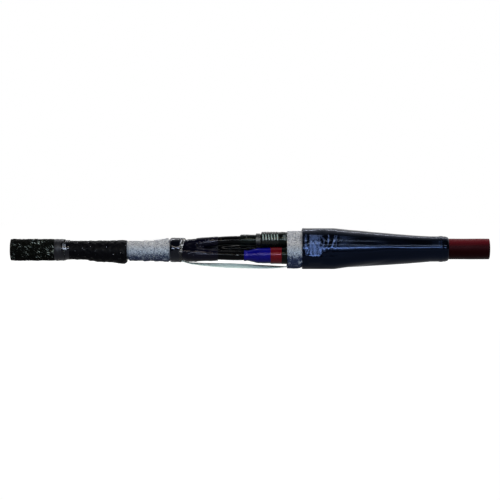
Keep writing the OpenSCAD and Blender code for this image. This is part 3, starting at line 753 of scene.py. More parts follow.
FINISHES = {finish.name: finish for finish in (
    JuteFinish("tarred_jute", (0.001, 0.0014, 0.001), (0.42, 0.5, 0.48)),
    TapeFinish("bitumen_tape", (0.001, 0.001, 0.002)),
    ShrinkFinish("binding_gloss", (0.0006, 0.0006, 0.002), (0.001, 0.001, 0.004), 0.09, 0.42,
                 (0.85, 0.88, 1.0), wrinkle_depth=0.06, peel_depth=0.02, dull_before=-0.568),
    MetalFinish("armour_steel", (0.36, 0.36, 0.37), (0.16, 0.13, 0.11), 0.4),
    FillerFinish("bedding_paper", (0.05, 0.035, 0.022), (0.022, 0.016, 0.011)),
    MetalFinish("lead", (0.34, 0.35, 0.37), (0.22, 0.23, 0.25), 0.45),
    FillerFinish("cable_paper", (0.5, 0.36, 0.17), (0.34, 0.22, 0.09)),
    MetalFinish("copper_wire", (0.86, 0.42, 0.24), (0.5, 0.2, 0.1), 0.28),
    MetalFinish("spring_steel", (0.06, 0.062, 0.062), (0.04, 0.042, 0.042), stretch=(0.2, 1.0, 1.0)),
    FillerFinish("padding_tape", (0.012, 0.012, 0.012), (0.02, 0.02, 0.02)),
    # The second colour is the painted cool light on the lower side of the mesh.
    KnitFinish("tinned_mesh", (0.78, 0.78, 0.79), (0.62, 0.72, 0.86), (0.004, 0.012, 0.055)),
    PlaitFinish("earth_braid", (0.78, 0.95, 0.91), (0.42, 0.55, 0.54)),
    ShrinkFinish("boot_black", (0.0006, 0.0006, 0.003), (0.001, 0.001, 0.006), 0.09, 0.2,
                 (0.8, 0.8, 1.0), peel_depth=0.03, smudge=0.08),
    ShrinkFinish("band_black", (0.0005, 0.0008, 0.002), (0.001, 0.0015, 0.004), 0.06, 0.4,
                 (0.75, 0.8, 1.0), wrinkle_depth=0.08, peel_depth=0.01, smudge=0.04),
    # Painted glints: many pale specks along the top of the torn edge.
    TapeFinish("band_edge", (0.004, 0.004, 0.006), 0.22, 0.4, facet_scale=260.0, facet_depth=0.6,
               painted_glint=(0.62, 0.62, 0.66), painted_glint_share=0.23, painted_glint_scale=260.0, painted_glint_heights=(0.046, 0.062)),
    FillerFinish("mastic", (0.6, 0.4, 0.05), (0.42, 0.27, 0.03), 0.45),
    ShrinkFinish("core_tube_black", (0.0004, 0.0004, 0.0008), (0.0008, 0.0008, 0.0015), 0.1, 0.09,
                 wrinkle_depth=0.12, peel_depth=0.02, smudge=0.06),
    ShrinkFinish("tube_blue", (0.001, 0.001, 0.13), (0.0015, 0.0015, 0.095), 0.12, 0.24,
                 (0.6, 0.5, 1.0), wrinkle_depth=0.15),
    ShrinkFinish("tube_red", (0.085, 0.001, 0.004), (0.07, 0.001, 0.003), 0.12, 0.36,
                 (1.0, 0.45, 0.6), wrinkle_depth=0.15),
    ShrinkFinish("tube_black", (0.0005, 0.001, 0.001), (0.001, 0.002, 0.0018), 0.14, 0.14,
                 (0.85, 1.0, 0.95)),
    MetalFinish("connector_metal", (0.78, 0.79, 0.8), (0.6, 0.61, 0.62), 0.28),
    MetalFinish("bolt_brass", (0.8, 0.58, 0.27), (0.6, 0.42, 0.2)),
    # The pale second colour is a painted highlight on the ridge crests.
    RidgeFinish("ridged_tape", (0.0006, 0.0018, 0.0016), (0.2, 0.27, 0.25)),
    ShrinkFinish("sleeve_black", (0.0003, 0.0004, 0.001), (0.0005, 0.0007, 0.002), 0.11, 0.3,
                 (0.3, 0.46, 1.0), wrinkle_depth=0.15, peel_depth=0.03, smudge=0.08),
    FillerFinish("sealing_mastic", (0.12, 0.01, 0.012), (0.05, 0.006, 0.008), 0.25),
    FillerFinish("core_insulation", (0.7, 0.7, 0.64), (0.6, 0.6, 0.54), 0.4, gloss=0.5),
    MetalFinish("aluminium_wire", (0.82, 0.83, 0.85), (0.62, 0.63, 0.65), 0.28),
    MetalFinish("copper_screen", (0.8, 0.38, 0.22), (0.42, 0.18, 0.1), 0.32),
    FillerFinish("filler_black", (0.02, 0.02, 0.02), (0.035, 0.035, 0.035)),
    # The sheath's two reds are painted shade below and painted light along its top.
    SheathFinish("sheath_red", (0.005, 0.0001, 0.0002), (0.11, 0.004, 0.009)),
)}


class Wardrobe:
    """Makes each finish once and hands it out."""

    def __init__(self) -> None:
        """Starts with no material made."""
        self.made: dict[str, bpy.types.Material] = {}

    def material(self, slot: str) -> bpy.types.Material:
        """The material of a record slot."""
        if slot not in self.made:
            self.made[slot] = FINISHES[slot].build()
        return self.made[slot]

    def wear(self, piece: Piece, slot: str) -> None:
        """Puts one slot's finish on a whole piece."""
        piece.data.materials.clear()
        piece.data.materials.append(self.material(slot))

    def dress_frame(self, frame: dict) -> None:
        """Puts each CAD node's own finish on it, as the record names them."""
        for part in frame["record"]["subparts"]:
            self.wear(frame["nodes"][part["node"]], part["material_slot"])


@dataclass
class Assembly:
    """A group of pieces that are built together, dressed from one wardrobe, and ride on the one body."""

    wardrobe: Wardrobe

    def place(self, piece: Piece, slot: str, *nodes: str, finish: str = "") -> Piece:
        """Dresses a piece, rides it on the body and lets it stand for CAD nodes.

        Args:
            piece: the finished piece.
            slot: the record's material slot.
            nodes: the CAD nodes that it stands for.
            finish: a finish other than the slot's own.

        Returns:
            The same piece.
        """
        self.wardrobe.wear(piece, finish or slot)
        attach(piece, ROOT)
        if nodes:
            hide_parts(*nodes)
        shown = ", ".join(nodes) or "no node"
        LOG.info("%s: %d vertices, for %s", piece.name, len(piece.data.vertices), shown)
        return piece

    def build(self) -> None:
        """Makes every piece of the assembly."""
        raise NotImplementedError


@dataclass
class CoreRoute:
    """The routes of the three cores, from the paper cable over the joint to the red cable.

    A core lies beside the others in its cable, spreads to its place in the joint body and
    closes up again. The share of the bend is two equal arcs: 2t^2, then 1 - 2(1 - t)^2. The
    rear core also rises on its way, by rear_rise * sin(pi * t^2.6)^2.
    """

    paper_z: float = 57.5
    paper_lay: float = 10.86
    polymer_z: float = 60.0
    polymer_lay: float = 14.2
    top_z: float = 85.2
    low_z: float = 40.8
    low_y: float = 27.2
    spread_start: float = -262.0
    spread_ends: tuple[float, float, float] = (-30.0, -30.0, 2.0)
    rear_rise: float = 19.0
    close: tuple[float, float] = (315.0, 520.0)
    middle: float = 150.0
    seats: tuple[float, float, float] = (90.0, 210.0, 330.0)

    def cable_spot(self, core: int, lay: float, z: float) -> Array:
        """Place of a core in a cable: laid at its seat angle round the axis."""
        seat = math.radians(self.seats[core])
        return np.array([lay * math.cos(seat), z + lay * math.sin(seat)])

    def body_spot(self, core: int) -> Array:
        """Place of a core in the joint body."""
        return np.array([(0.0, self.top_z), (-self.low_y, self.low_z), (self.low_y, self.low_z)][core])

    def at(self, x: Array, core: int) -> tuple[Array, Array]:
        """Where a core runs.

        Args:
            x: places along X.
            core: the core's number in CORES.

        Returns:
            Its Y and its Z at each place.
        """
        body = self.body_spot(core)
        paper = self.cable_spot(core, self.paper_lay, self.paper_z)
        polymer = self.cable_spot(core, self.polymer_lay, self.polymer_z)
        t = share(x, self.spread_start, self.spread_ends[core])
        left = between(paper, body, self.arcs(t)[:, None])
        if CORES[core] == "rear":
            left[:, 1] += self.rear_rise * np.sin(np.pi * t ** 2.6) ** 2
        right = between(body, polymer, self.arcs(share(x, *self.close))[:, None])
        spot = np.where(x[:, None] < self.middle, left, right)
        return spot[:, 0], spot[:, 1]

    @staticmethod
    def arcs(t: Array) -> Array:
        """The share of a bend made of two equal arcs, back to back."""
        return np.where(t < 0.5, 2.0 * t * t, 1.0 - 2.0 * (1.0 - t) ** 2)


@dataclass
class PaperCable(Assembly):
    """The left cable: tarred jute serving, loose fibres on it, and the smooth binding at its end."""

    yarns: int = 30
    yarn_height: float = 1.1
    lay_turns: float = 0.55
    fibre_count: int = 420
    flank: float = 13.0
    flank_slope: tuple[float, float] = (0.28, 0.39)
    flank_start: float = -6.5
    tape_radius: float = 29.4

    def build(self) -> None:
        """Makes the serving, its fibres and the binding."""
        serving = Span.of("jute_serving")
        armour = Span.of("steel_tape_armour")
        binding = Span.of("serving_binding")
        self.place(self.serving(serving, armour.radius, binding.x0), "tarred_jute", "jute_serving")
        self.place(self.fibres(serving, binding.x0), "tarred_jute")
        self.place(self.binding(binding, serving.radius), "bitumen_tape", "serving_binding",
                   finish="binding_gloss")

    def serving(self, span: Span, bore: float, bare_end: float) -> Piece:
        """The serving as a wall with yarns on its outside.

        A yarn's height is |cos(phase / 2)|^0.7 with a slow swelling, and its phase winds round the
        cable as it runs along it.

        Args:
            span: where the serving lies.
            bore: radius over the armour.
            bare_end: where the binding starts, under which the yarns are pressed flat.
        """
        x = span.places(2.0)
        angle = circle(300)
        wound = 2.0 * np.pi * self.lay_turns * share(x, span.x0, span.x1)[:, None]
        phase = self.yarns * (angle - wound)
        yarn = np.abs(np.cos(phase / 2.0)) ** 0.7
        swell = Ripple(3, 0.35, (2, 14), (12.0, 60.0)).at(x, angle)
        fuzz = Ripple(4, 0.16, (30, 90), (3.0, 9.0), 40).at(x, angle)
        open_yarn = 1.0 - share(x, bare_end - 3.0, bare_end + 1.0)[:, None]
        radius = span.radius - 0.5 + open_yarn * (self.yarn_height * (yarn - 0.75) + swell + fuzz)
        radius = np.where(x[:, None] > bare_end, span.radius - 0.6, radius)
        outer = rings(x, radius, angle, 0.0, span.z)
        inner = rings(x[[0, -1]], bore, angle, 0.0, span.z)
        return make_wall("jute_yarns", outer, inner)

    def fibres(self, span: Span, bare_end: float) -> Piece:
        """Loose fibres that lie on the serving, each a thin three-sided bristle.

        A fibre starts at a random place and follows x + t * length * cos(slant) and
        angle + t * length * sin(slant) / radius, lifting off the yarns in its middle.

        Args:
            span: where the serving lies.
            bare_end: where the binding starts, which no fibre reaches.
        """
        draw = np.random.default_rng(17)
        count, knots = self.fibre_count, 7
        t = np.linspace(0.0, 1.0, knots)
        start = draw.uniform(span.x0 + 2.0, bare_end - 14.0, count)[:, None]
        turn = draw.uniform(0.0, 2.0 * np.pi, count)[:, None]
        length = draw.uniform(5.0, 15.0, count)[:, None]
        slant = np.radians(draw.normal(42.0, 16.0, count))[:, None]
        bow = draw.normal(0.0, 1.4, count)[:, None]
        x = start + t * length * np.cos(slant)
        lift = draw.uniform(0.1, 0.9, count)[:, None] * np.sin(np.pi * t)
        radius = span.radius + 0.05 + lift
        angle = turn + (t * length * np.sin(slant) + bow * np.sin(np.pi * t)) / span.radius
        thick = draw.uniform(0.12, 0.28, count)[:, None] * (0.35 + np.sin(np.pi * t))
        sides = circle(3)
        across = thick[..., None] * np.cos(sides)
        rise = thick[..., None] * np.sin(sides)
        bend = angle[..., None] + across / span.radius
        points = np.stack([np.broadcast_to(x[..., None], across.shape) + 0.4 * across,
                           (radius[..., None] + rise) * np.cos(bend),
                           span.z + (radius[..., None] + rise) * np.sin(bend)], axis=-1)
        made = [make_piece(f"fibre_{k}", points[k], Close.BAR, 180.0) for k in range(count)]
        return merged("jute_fibres", made)

    def binding(self, span: Span, serving_radius: float) -> Piece:
        """The smooth glossy binding: a soft swell, then a flank that runs down onto the armour tape.

        The flank falls at an even slope, from flank_slope[0] at the side to flank_slope[1] at the top.

        Args:
            span: where the binding lies on the serving.
            serving_radius: radius of the serving before it.
        """
        x = span.places(1.0, self.flank)
        angle = circle(144)
        at = (x - span.x0)[:, None]
        ripple = Ripple(8, 0.12, (1, 9), (9.0, 30.0)).at(x, angle)
        ripple = ripple * (1.0 - share(x, span.x1 - 9.0, span.x1 - 6.0))[:, None]
        swell = 0.8 * hump(at, 8.0, 5.0) + 0.9 * share(at, 14.0, 25.0)
        radius = serving_radius - 0.4 + swell + ripple
        radius = between(serving_radius - 0.5, radius, ease(share(at, 0.0, 4.0)))
        waver = 1.6 * np.sin(angle + 0.6)
        steep = between(*self.flank_slope, np.maximum(0.0, np.sin(angle)))
        fall = steep * np.maximum(0.0, x[:, None] + waver - (span.x1 + self.flank_start))
        radius = np.maximum(radius - fall, self.tape_radius + 0.4)
        inner_x = np.array([span.x0, span.x1, span.x1 + 0.1, x[-1]])
        under = serving_radius - 0.8
        bore = np.array([under, under, self.tape_radius + 0.6, self.tape_radius])
        outer = rings(x, radius, angle, 0.0, span.z)
        inner = rings(inner_x, bore, angle, 0.0, span.z)
        return make_wall("glossy_binding", outer, inner)


@dataclass
class ArmourWrap(Assembly):
    """Black tape lapped over the end of the armour, thin at first and bulging before the mesh."""

    places: tuple[float, ...] = (0, 6, 56, 70, 84, 102, 138, 152, 160, 168, 178, 186)
    heights: tuple[float, ...] = (57, 56.6, 56.2, 55.2, 54, 53.2, 52.8, 52.2, 51.6, 51.2, 51.4, 53)
    radii: tuple[float, ...] = (29.2, 28.4, 28.5, 29.6, 31, 32.6, 33, 34, 35.4, 36, 35.6, 33)
    lap_pitch: float = 21.0
    lap_height: float = 0.7
    bores: tuple[float, float] = (26.4, 27.9)
    cable_z: float = 57.5

    def build(self) -> None:
        """Makes the tape wrap."""
        low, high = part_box("armour_tape_wrap")
        x = steps(low.x / MM, high.x / MM, 1.4)
        angle = circle(180)
        at = x - x[0]
        middle = np.interp(at, self.places, self.heights)
        body = np.interp(at, self.places, self.radii)
        turn = (at[:, None] / self.lap_pitch - angle / (2.0 * np.pi)) % 1.0
        lap = self.lap_height * (turn ** 2) * (1.0 - ease(share(turn, 0.93, 1.0)))
        lumps = Ripple(21, 0.34, (3, 12), (14.0, 40.0)).at(x, angle)
        crumple = Ripple(22, 0.3, (6, 24), (6.0, 16.0)).creases(x, angle, 0.5)
        bare = ease(share(at, 10.0, 20.0))[:, None]
        radius = body[:, None] - 0.5 + (lap + lumps + crumple) * bare
        outer = rings(x, radius, angle, 0.0, middle)
        inner = rings(x[[0, -1]], np.array(self.bores), angle, 0.0, self.cable_z)
        self.place(make_wall("lapped_armour_tape", outer, inner), "bitumen_tape", "armour_tape_wrap")


@dataclass
class MeshWrap(Assembly):
    """Tinned copper mesh wound over the lead sheath, with the crotch band on its end."""

    places: tuple[float, ...] = (-404, -371, -362, -323, -321, -290, -288, -271, -256, -247, -242, -212)
    heights: tuple[float, ...] = (57.5, 57.5, 54.6, 54.2, 54.2, 54.8, 54.9, 55.9, 56.8, 57, 56, 56)
    radii: tuple[float, ...] = (25.6, 25.6, 30.2, 29.9, 30.5, 30.7, 31.4, 32.8, 35, 36.5, 31.6, 31.6)
    hems: tuple[float, float] = (-320.0, -287.0)
    thickness: float = 1.6
    band_bore: float = 32.3
    edge_bore: float = 32.6
    bore_z: float = 56.0
    lean_reach: float = 9.0

    def build(self) -> None:
        """Makes the mesh and the band."""
        x = steps(self.places[0], self.places[-1], 1.2)
        angle = circle(160)
        middle = np.interp(x, self.places, self.heights)
        radius = np.interp(x, self.places, self.radii)
        soft = Ripple(31, 0.22, (2, 16), (8.0, 40.0)).at(x, angle)
        shown = ease(share(x, -376.0, -368.0) * (1.0 - share(x, -246.0, -242.0)))[:, None]
        for hem in self.hems:
            past = x[:, None] - (hem + 1.4 * np.sin(2.0 * angle + hem))
            soft = soft + 1.1 * ease(share(past, -0.6, 0.6)) * (1.0 - share(past, 0.6, 24.0))
        outer = rings(x, radius[:, None] + soft * shown, angle, 0.0, middle)
        inner = rings(x[::6], (radius - self.thickness)[::6], angle, 0.0, middle[::6])
        self.place(make_wall("knitted_mesh_wrap", outer, inner), "tinned_mesh", "sheath_mesh_wrap")
        self.place(self.band(), "boot_black", "crotch_band", finish="band_black")
        self.place(self.edge(), "boot_black", finish="band_edge")

    def band(self) -> Piece:
        """The glossy band: long waves along it, and a right edge that leans out at the top."""
        span = Span.of("crotch_band")
        x = span.places(0.8)
        angle = circle(160)
        at = (x - span.x0)[:, None]
        length = span.x1 - span.x0
        waves = Ripple(33, 0.2, (3, 9), (20.0, 60.0)).at(x, angle)
        creases = Ripple(34, 0.3, (4, 10), (24.0, 70.0)).creases(x, angle, 0.4)
        crumple = Ripple(35, 0.5, (9, 40), (3.0, 9.0)).at(x, angle)
        radius = span.radius - 0.6 + 0.6 * waves + creases + hump(at, length - 4.0, 3.4) * crumple
        radius = radius - 3.2 * (1.0 - share(at, 0.0, 6.0)) ** 2
        radius = radius - 3.4 * (1.0 - share(length - at, 0.0, 11.0)) ** 2
        outer = rings(x, np.minimum(radius, span.radius + 0.5), angle, 0.0, span.z)
        outer[..., 0] += self.lean(angle) * share(at, length - 16.0, length)
        inner = rings(x[[0, -1]], self.band_bore, angle, 0.0, self.bore_z)
        inner[-1, :, 0] += self.lean(angle)
        return make_wall("glossy_crotch_band", outer, inner)

    def lean(self, angle: Array) -> Array:
        """How far the band's right edge is drawn over the boot: most at the top, none below."""
        return self.lean_reach * np.maximum(0.0, np.sin(angle)) ** 1.5

    def edge(self) -> Piece:
        """The crumpled end of the band, where it was torn off over the boot, mottled with painted glints by
        its finish.
        """
        span = Span.of("crotch_band")
        x = steps(span.x1 - 9.0, span.x1 + 1.2, 0.6)
        angle = circle(200)
        at = share(x, x[0], x[-1])[:, None]
        crumple = Ripple(36, 0.45, (12, 50), (3.0, 8.0), 40).at(x, angle)
        radius = span.radius - 0.9 - 2.6 * at ** 2 + crumple * np.sin(np.pi * at)
        ragged = Ripple(37, 0.7, (4, 30), (40.0, 90.0)).at(x, angle)
        outer = rings(x, radius, angle, 0.0, span.z)
        outer[..., 0] += self.lean(angle) + ragged * at
        inner = rings(x[[0, -1]], self.edge_bore, angle, 0.0, self.bore_z)
        inner[..., 0] += self.lean(angle)
        return make_wall("torn_band_edge", outer, inner)


@dataclass
class Breakout(Assembly):
    """The three-finger boot, its wall taken from the CAD solid, fused smooth and wrinkled."""

    voxel: float = 1.35
    smooth_rounds: int = 6
    skirt_end: float = -206.0
    finger_end: float = -96.0
    draw_in: float = 2.0
    wave_count: int = 26
    wave_pace: Triple = (0.055, 0.34, 0.34)
    crease_height: float = 0.75
    crease_width: float = 0.22
    lump_waves: int = 9
    lump_pace: float = 0.45
    lump_height: float = 0.3
    sink: float = 0.2

    def build(self) -> None:
        """Makes the boot.

        The wrinkles are a sum of waves cos(k . p + phase) that change fast round the boot and
        slowly along it, kept as thin raised creases, and they fade out under the band.
        """
        boot = self.copy_of("breakout_boot", "wrinkled_boot")
        self.fuse(boot)
        self.wrinkle(boot)
        boot.data.shade_smooth()
        self.place(boot, "boot_black", "breakout_boot")
        self.place(self.filling(), "mastic", "crotch_mastic")

    def copy_of(self, node: str, name: str) -> Piece:
        """A free copy of a CAD node, with its loose triangles merged.

        Args:
            node: the CAD node.
            name: the copy's name.

        Returns:
            The linked copy, with the merge as a modifier.
        """
        piece = bpy.data.objects[node].copy()
        piece.data = piece.data.copy()
        piece.name = piece.data.name = name
        piece.parent = None
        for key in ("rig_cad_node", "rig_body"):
            del piece[key]
        bpy.context.scene.collection.objects.link(piece)
        weld = piece.modifiers.new("weld", "WELD")
        weld.merge_threshold = 0.01 * MM
        return piece

    def filling(self) -> Piece:
        """The mastic inside the boot, drawn in a little from the wall of the shrunk boot."""
        piece = self.copy_of("crotch_mastic", "crotch_filling")
        draw_in = piece.modifiers.new("draw_in", "DISPLACE")
        draw_in.mid_level = 0.0
        draw_in.strength = -self.draw_in * MM
        self.apply(piece)
        return piece

    @staticmethod
    def apply(piece: Piece) -> None:
        """Applies a piece's modifiers in order."""
        with bpy.context.temp_override(object=piece, active_object=piece):
            for name in [m.name for m in piece.modifiers]:
                bpy.ops.object.modifier_apply(modifier=name)

    def fuse(self, boot: Piece) -> None:
        """Rebuilds the skin from voxels and smooths its joins."""
        remesh = boot.modifiers.new("remesh", "REMESH")
        remesh.mode = "VOXEL"
        remesh.voxel_size = self.voxel * MM
        soften = boot.modifiers.new("soften", "CORRECTIVE_SMOOTH")
        soften.factor = 0.5
        soften.iterations = self.smooth_rounds
        soften.use_only_smooth = True
        self.apply(boot)

    def wrinkle(self, boot: Piece) -> None:
        """Moves each point out along its normal by the wrinkle height there."""
        count = len(boot.data.vertices)
        flat, normals = np.zeros(count * 3, np.float32), np.zeros(count * 3, np.float32)
        boot.data.vertices.foreach_get("co", flat)
        boot.data.vertices.foreach_get("normal", normals)
        p, n = flat.reshape(-1, 3) / MM, normals.reshape(-1, 3)
        draw = np.random.default_rng(41)
        waves = draw.normal(0.0, 1.0, (self.wave_count, 3)) * np.array(self.wave_pace)
        phase = draw.uniform(0.0, 2.0 * np.pi, self.wave_count)
        folds = np.cos(p @ waves.T + phase).sum(axis=1) / math.sqrt(self.wave_count / 2.0)
        slow = np.cos(p @ (waves[:self.lump_waves] * self.lump_pace).T + phase[:self.lump_waves])
        lumps = self.lump_height * slow.sum(axis=1) / math.sqrt(self.lump_waves)
        height = self.crease_height * hump(folds, 0.0, self.crease_width) + lumps - self.sink
        bare = (p[:, 0] >= self.skirt_end) & (p[:, 0] <= self.finger_end - 2.5)
        calm = 1.0 - 0.5 * share(p[:, 0], self.finger_end - 24.0, self.finger_end - 2.0)
        p = p + n * (np.where(bare, height, 0.0) * calm)[:, None]
        boot.data.vertices.foreach_set("co", (p * MM).astype(np.float32).ravel())
        boot.data.update()


@dataclass
class CoreSet(Assembly):
    """The three cores: black tubes on their smooth bends, and stranded conductors in both cables."""

    route: CoreRoute = field(default_factory=CoreRoute)
    tube_radius: float = 14.2
    bore_radius: float = 9.45
    spacer_radius: float = 9.4
    spacer_ends: tuple[float, float] = (-92.0, 36.0)
    spacer_spot: tuple[float, float] = (9.0, 61.0)
    copper_width: float = 13.0
    aluminium_width: float = 14.2
    strand_rings: tuple[int, ...] = (1, 6, 12)
    strand_lay: float = 260.0
    smooth_end: tuple[float, float] = (30.0, 44.0)

    def build(self) -> None:
        """Makes the tubes and the conductors."""
        self.place(self.spacer(), "core_tube_black")
        for core, name in enumerate(CORES):
            self.place(self.tube(core), "core_tube_black", f"core_tube_{name}")
            for cable, width, metal in (("paper", self.copper_width, "copper"),
                                        ("polymer", self.aluminium_width, "aluminium")):
                node = f"{cable}_conductor_{name}"
                self.place(self.conductor(core, node, width, metal), f"{metal}_wire", node)

    def tube(self, core: int) -> Piece:
        """A shrunk tube along a core's bend, with long wrinkles drawn out along it.

        Args:
            core: the core's number in CORES.

        Returns:
            The tube.
        """
        low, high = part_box(f"core_tube_{CORES[core]}")
        x = steps(low.x / MM, high.x / MM, 2.6)
        angle = circle(72)
        y, z = self.route.at(x, core)
        creases = Ripple(50 + core, 0.24, (3, 11), (30.0, 90.0)).creases(x, angle, 0.3)
        rough = Ripple(60 + core, 0.09, (8, 30), (4.0, 14.0)).at(x, angle)
        ends = ease(share(np.minimum(x - x[0], x[-1] - x), *self.smooth_end))[:, None]
        outer = rings(x, self.tube_radius + (creases + rough) * ends, angle, y, z)
        inner = rings(x[::6], self.bore_radius, angle, y[::6], z[::6])
        return make_wall(f"shrunk_core_tube_{CORES[core]}", outer, inner)

    def spacer(self) -> Piece:
        """A black roll between the three cores that fills the gap between them, drawn in to a point at both
        ends.

        Its radius is r * (1 - |u|^3.5)^0.5 with u from -1 to 1 along it, and it leans back a little.
        """
        x = steps(*self.spacer_ends, 2.0)
        u = (x - x.mean()) / (x[-1] - x.mean())
        y, z = self.spacer_spot
        angle = circle(48)
        body = self.spacer_radius * np.sqrt(np.maximum(0.003, 1.0 - np.abs(u) ** 3.5))
        creases = Ripple(71, 0.5, (2, 9), (10.0, 34.0)).creases(x, angle, 0.35)
        lumps = Ripple(72, 0.3, (2, 8), (14.0, 40.0)).at(x, angle)
        radius = body[:, None] * (1.0 + 0.1 * (creases + lumps))
        return make_piece("core_spacer_roll", rings(x, radius, angle, y, z + 2.0 * u), Close.BAR)

    def conductor(self, core: int, node: str, diameter: float, metal: str) -> Piece:
        """A round conductor of strands laid in rings that wind along the core.

        Ring r holds 6r strands at r strand diameters from the middle, turned as x grows.

        Args:
            core: the core's number in CORES.
            node: the CAD node that gives its ends.
            diameter: its diameter, in millimetres.
            metal: what it is made of, for its name.

        Returns:
            The strands as one piece.
        """
        low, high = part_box(node)
        x = steps(low.x / MM, high.x / MM, 20.0)
        y, z = self.route.at(x, core)
        strand = diameter / (2 * len(self.strand_rings) - 1)
        sides = circle(7)
        made = []
        for level, count in enumerate(self.strand_rings):
            for k in range(count):
                turn = 2.0 * np.pi * (k / count + (x - x[0]) / self.strand_lay * (-1) ** level)
                across, up = level * strand * np.cos(turn), level * strand * np.sin(turn)
                made.append(make_piece("strand", rings(x, strand / 2, sides, y + across, z + up), Close.BAR))
        return merged(f"{metal}_strands_{CORES[core]}", made)


@dataclass
class JointBodies(Assembly):
    """The blue, red and black tubes on each core, and the ridged tape on the upper one."""

    route: CoreRoute = field(default_factory=CoreRoute)
    core_r: float = 14.2
    thin_r: float = 15.4
    blue_r: float = 22.8
    red_r: float = 24.9
    black_r: float = 25.7
    screen_r: float = 12.2
    inner_r: float = 17.3
    neck_r: float = 18.4
    blue_end_r: float = 14.4
    red_end_r: float = 15.6
    neck_starts: tuple[float, float, float] = (-30.0, 0.0, 4.0)
    red_starts: tuple[float, float, float] = (63.5, 61.5, 92.0)
    black_start: float = 94.5
    body_end: float = 284.0
    ridge_start: float = 35.0
    ridges: int = 6
    ridge_pitch: float = 8.6
    ridge_height: float = 1.15
    ridge_lean: float = 0.22
    swelling: float = 1.1
    crumpled_at: float = -16.0
    crumpled_width: float = 16.0
    seen: tuple[str, ...] = ("blue_tube_front", "red_tube_front", "black_tube_top")

    def build(self) -> None:
        """Makes the tubes of each core and the tape, with more points on the tubes that are seen."""
        for core, name in enumerate(CORES):
            blue, red, black = self.profiles(core)
            self.place(self.turned(f"blue_tube_{name}", blue, core, 70), "tube_blue", f"stress_tube_{name}")
            self.place(self.turned(f"red_tube_{name}", red, core, 80), "tube_red", f"insulating_tube_{name}")
            self.place(self.turned(f"black_tube_{name}", black, core, 90), "tube_black",
                       f"screened_tube_{name}")
        self.place(self.ridged_tape(), "ridged_tape", "ridged_tape")

    def profiles(self, core: int) -> tuple[list, list, list]:
        """Outlines of the three tubes on a core, the outside first and then the bore.

        Args:
            core: the core's number in CORES.

        Returns:
            The blue, the red and the black tube's points, each [x, radius].
        """
        end = self.body_end
        cut_back = CORES[core] == "front"
        neck = self.neck_starts[core]
        rise = [[31, self.thin_r], [38.5, self.blue_r]]
        if cut_back:
            start = [[-18, self.thin_r + 0.9], [-16.5, self.thin_r + 1.5], [-13.5, self.thin_r + 0.9],
                     [-9, self.thin_r], [-7.5, self.thin_r], [8, self.thin_r + 3.6], [22.5, self.blue_r]]
        else:
            start = [[neck + 16, self.thin_r], *rise]
        cone = 13.0 if cut_back else 31.0
        blue = start + [[end - 22, self.blue_r], [end - 4, self.blue_end_r], [end - 4, self.screen_r],
                        [end - 16, self.screen_r], [end - 34, self.inner_r], [cone + 13, self.inner_r],
                        [cone, self.core_r], [start[0][0], self.core_r]]
        red_x = self.red_starts[core]
        red = [[red_x, self.blue_r], [red_x, self.red_r], [end - 8, self.red_r],
               [end + 10, self.red_end_r], [end + 10, self.screen_r], [end - 4, self.screen_r],
               [end - 4, self.blue_end_r], [end - 22, self.blue_r]]
        tail = [[end, self.black_r], [end + 26, self.core_r], [end + 26, self.screen_r],
                [end + 10, self.screen_r], [end + 10, self.red_end_r], [end - 8, self.red_r]]
        full = self.black_r - (0.7 if CORES[core] == "rear" else 0.0)
        if cut_back:
            lead = [[self.black_start, self.red_r], [self.black_start, self.black_r]]
        else:
            lead = [[red_x, self.red_r], [red_x, self.blue_r], *rise[::-1],
                    [neck + 12, self.thin_r], [neck + 8, self.core_r], [neck, self.core_r],
                    [neck, self.neck_r - 1.0], [neck + 3, self.neck_r - 0.3], [neck + 22, self.neck_r - 0.4],
                    [32, self.neck_r], [34.5, full], [red_x - 3, full], [red_x, self.black_r]]
        return blue, red, lead + tail

    def turned(self, name: str, outline: list, core: int, seed: int) -> Piece:
        """A tube turned about its core from a rounded outline, a little uneven on the outside.

        Args:
            name: the tube's name.
            outline: its points, each [x, radius].
            core: the core's number in CORES.
            seed: the seed of its unevenness, to which the core's number is added.

        Returns:
            The tube.
        """
        seen = name in self.seen
        profile = refined(bevelled(np.array(outline, float), 1.1), 2.6 if seen else 9.0)
        along, radius = profile[:, :1], profile[:, 1:]
        angle = circle(96 if seen else 72)
        ripple = Ripple(seed + core, 0.07, (1, 7), (16.0, 60.0)).at(along, angle)
        grown = radius + ripple * (radius > self.screen_r + 0.4)
        if CORES[core] == "top":
            crumple = Ripple(seed + 7, 0.8, (5, 17), (7.0, 20.0)).creases(along, angle, 0.4)
            crumple = crumple * hump(along, self.crumpled_at, self.crumpled_width)
            swelling = self.swelling * share(along, 88.0, 96.0) * (1.0 - share(along, 97.0, 110.0))
            grown = grown + crumple * (radius > self.core_r + 2.8) + swelling * (radius > self.red_r + 0.4)
        grid = rings(profile[:, 0], grown, angle, *self.route.body_spot(core))
        return make_piece(name, grid, Close.TORUS, 50.0)

    def ridged_tape(self) -> Piece:
        """Tape lapped round the core: each turn leaves a rounded ridge that leans a little.

        The ridge height is |sin(pi * (x / pitch + lean))|^0.8, with the lean turning once round.
        """
        x = steps(self.ridge_start, self.ridge_start + self.ridges * self.ridge_pitch, 0.6)
        angle = circle(112)
        lean = self.ridge_lean * np.sin(angle + 0.4)
        wave = np.abs(np.sin(np.pi * ((x[:, None] - x[0]) / self.ridge_pitch + lean))) ** 0.8
        edge = ease(share(np.minimum(x - x[0], x[-1] - x), 0.0, 2.0))[:, None]
        lumps = Ripple(97, 0.07, (3, 14), (6.0, 20.0)).at(x, angle)
        radius = self.black_r + 0.1 + edge * (self.ridge_height * wave + lumps)
        spot = self.route.body_spot(0)
        outer = rings(x, radius, angle, *spot)
        inner = rings(x[[0, -1]], self.black_r - 0.3, angle, *spot)
        return make_wall("lapped_ridges", outer, inner, 60.0)


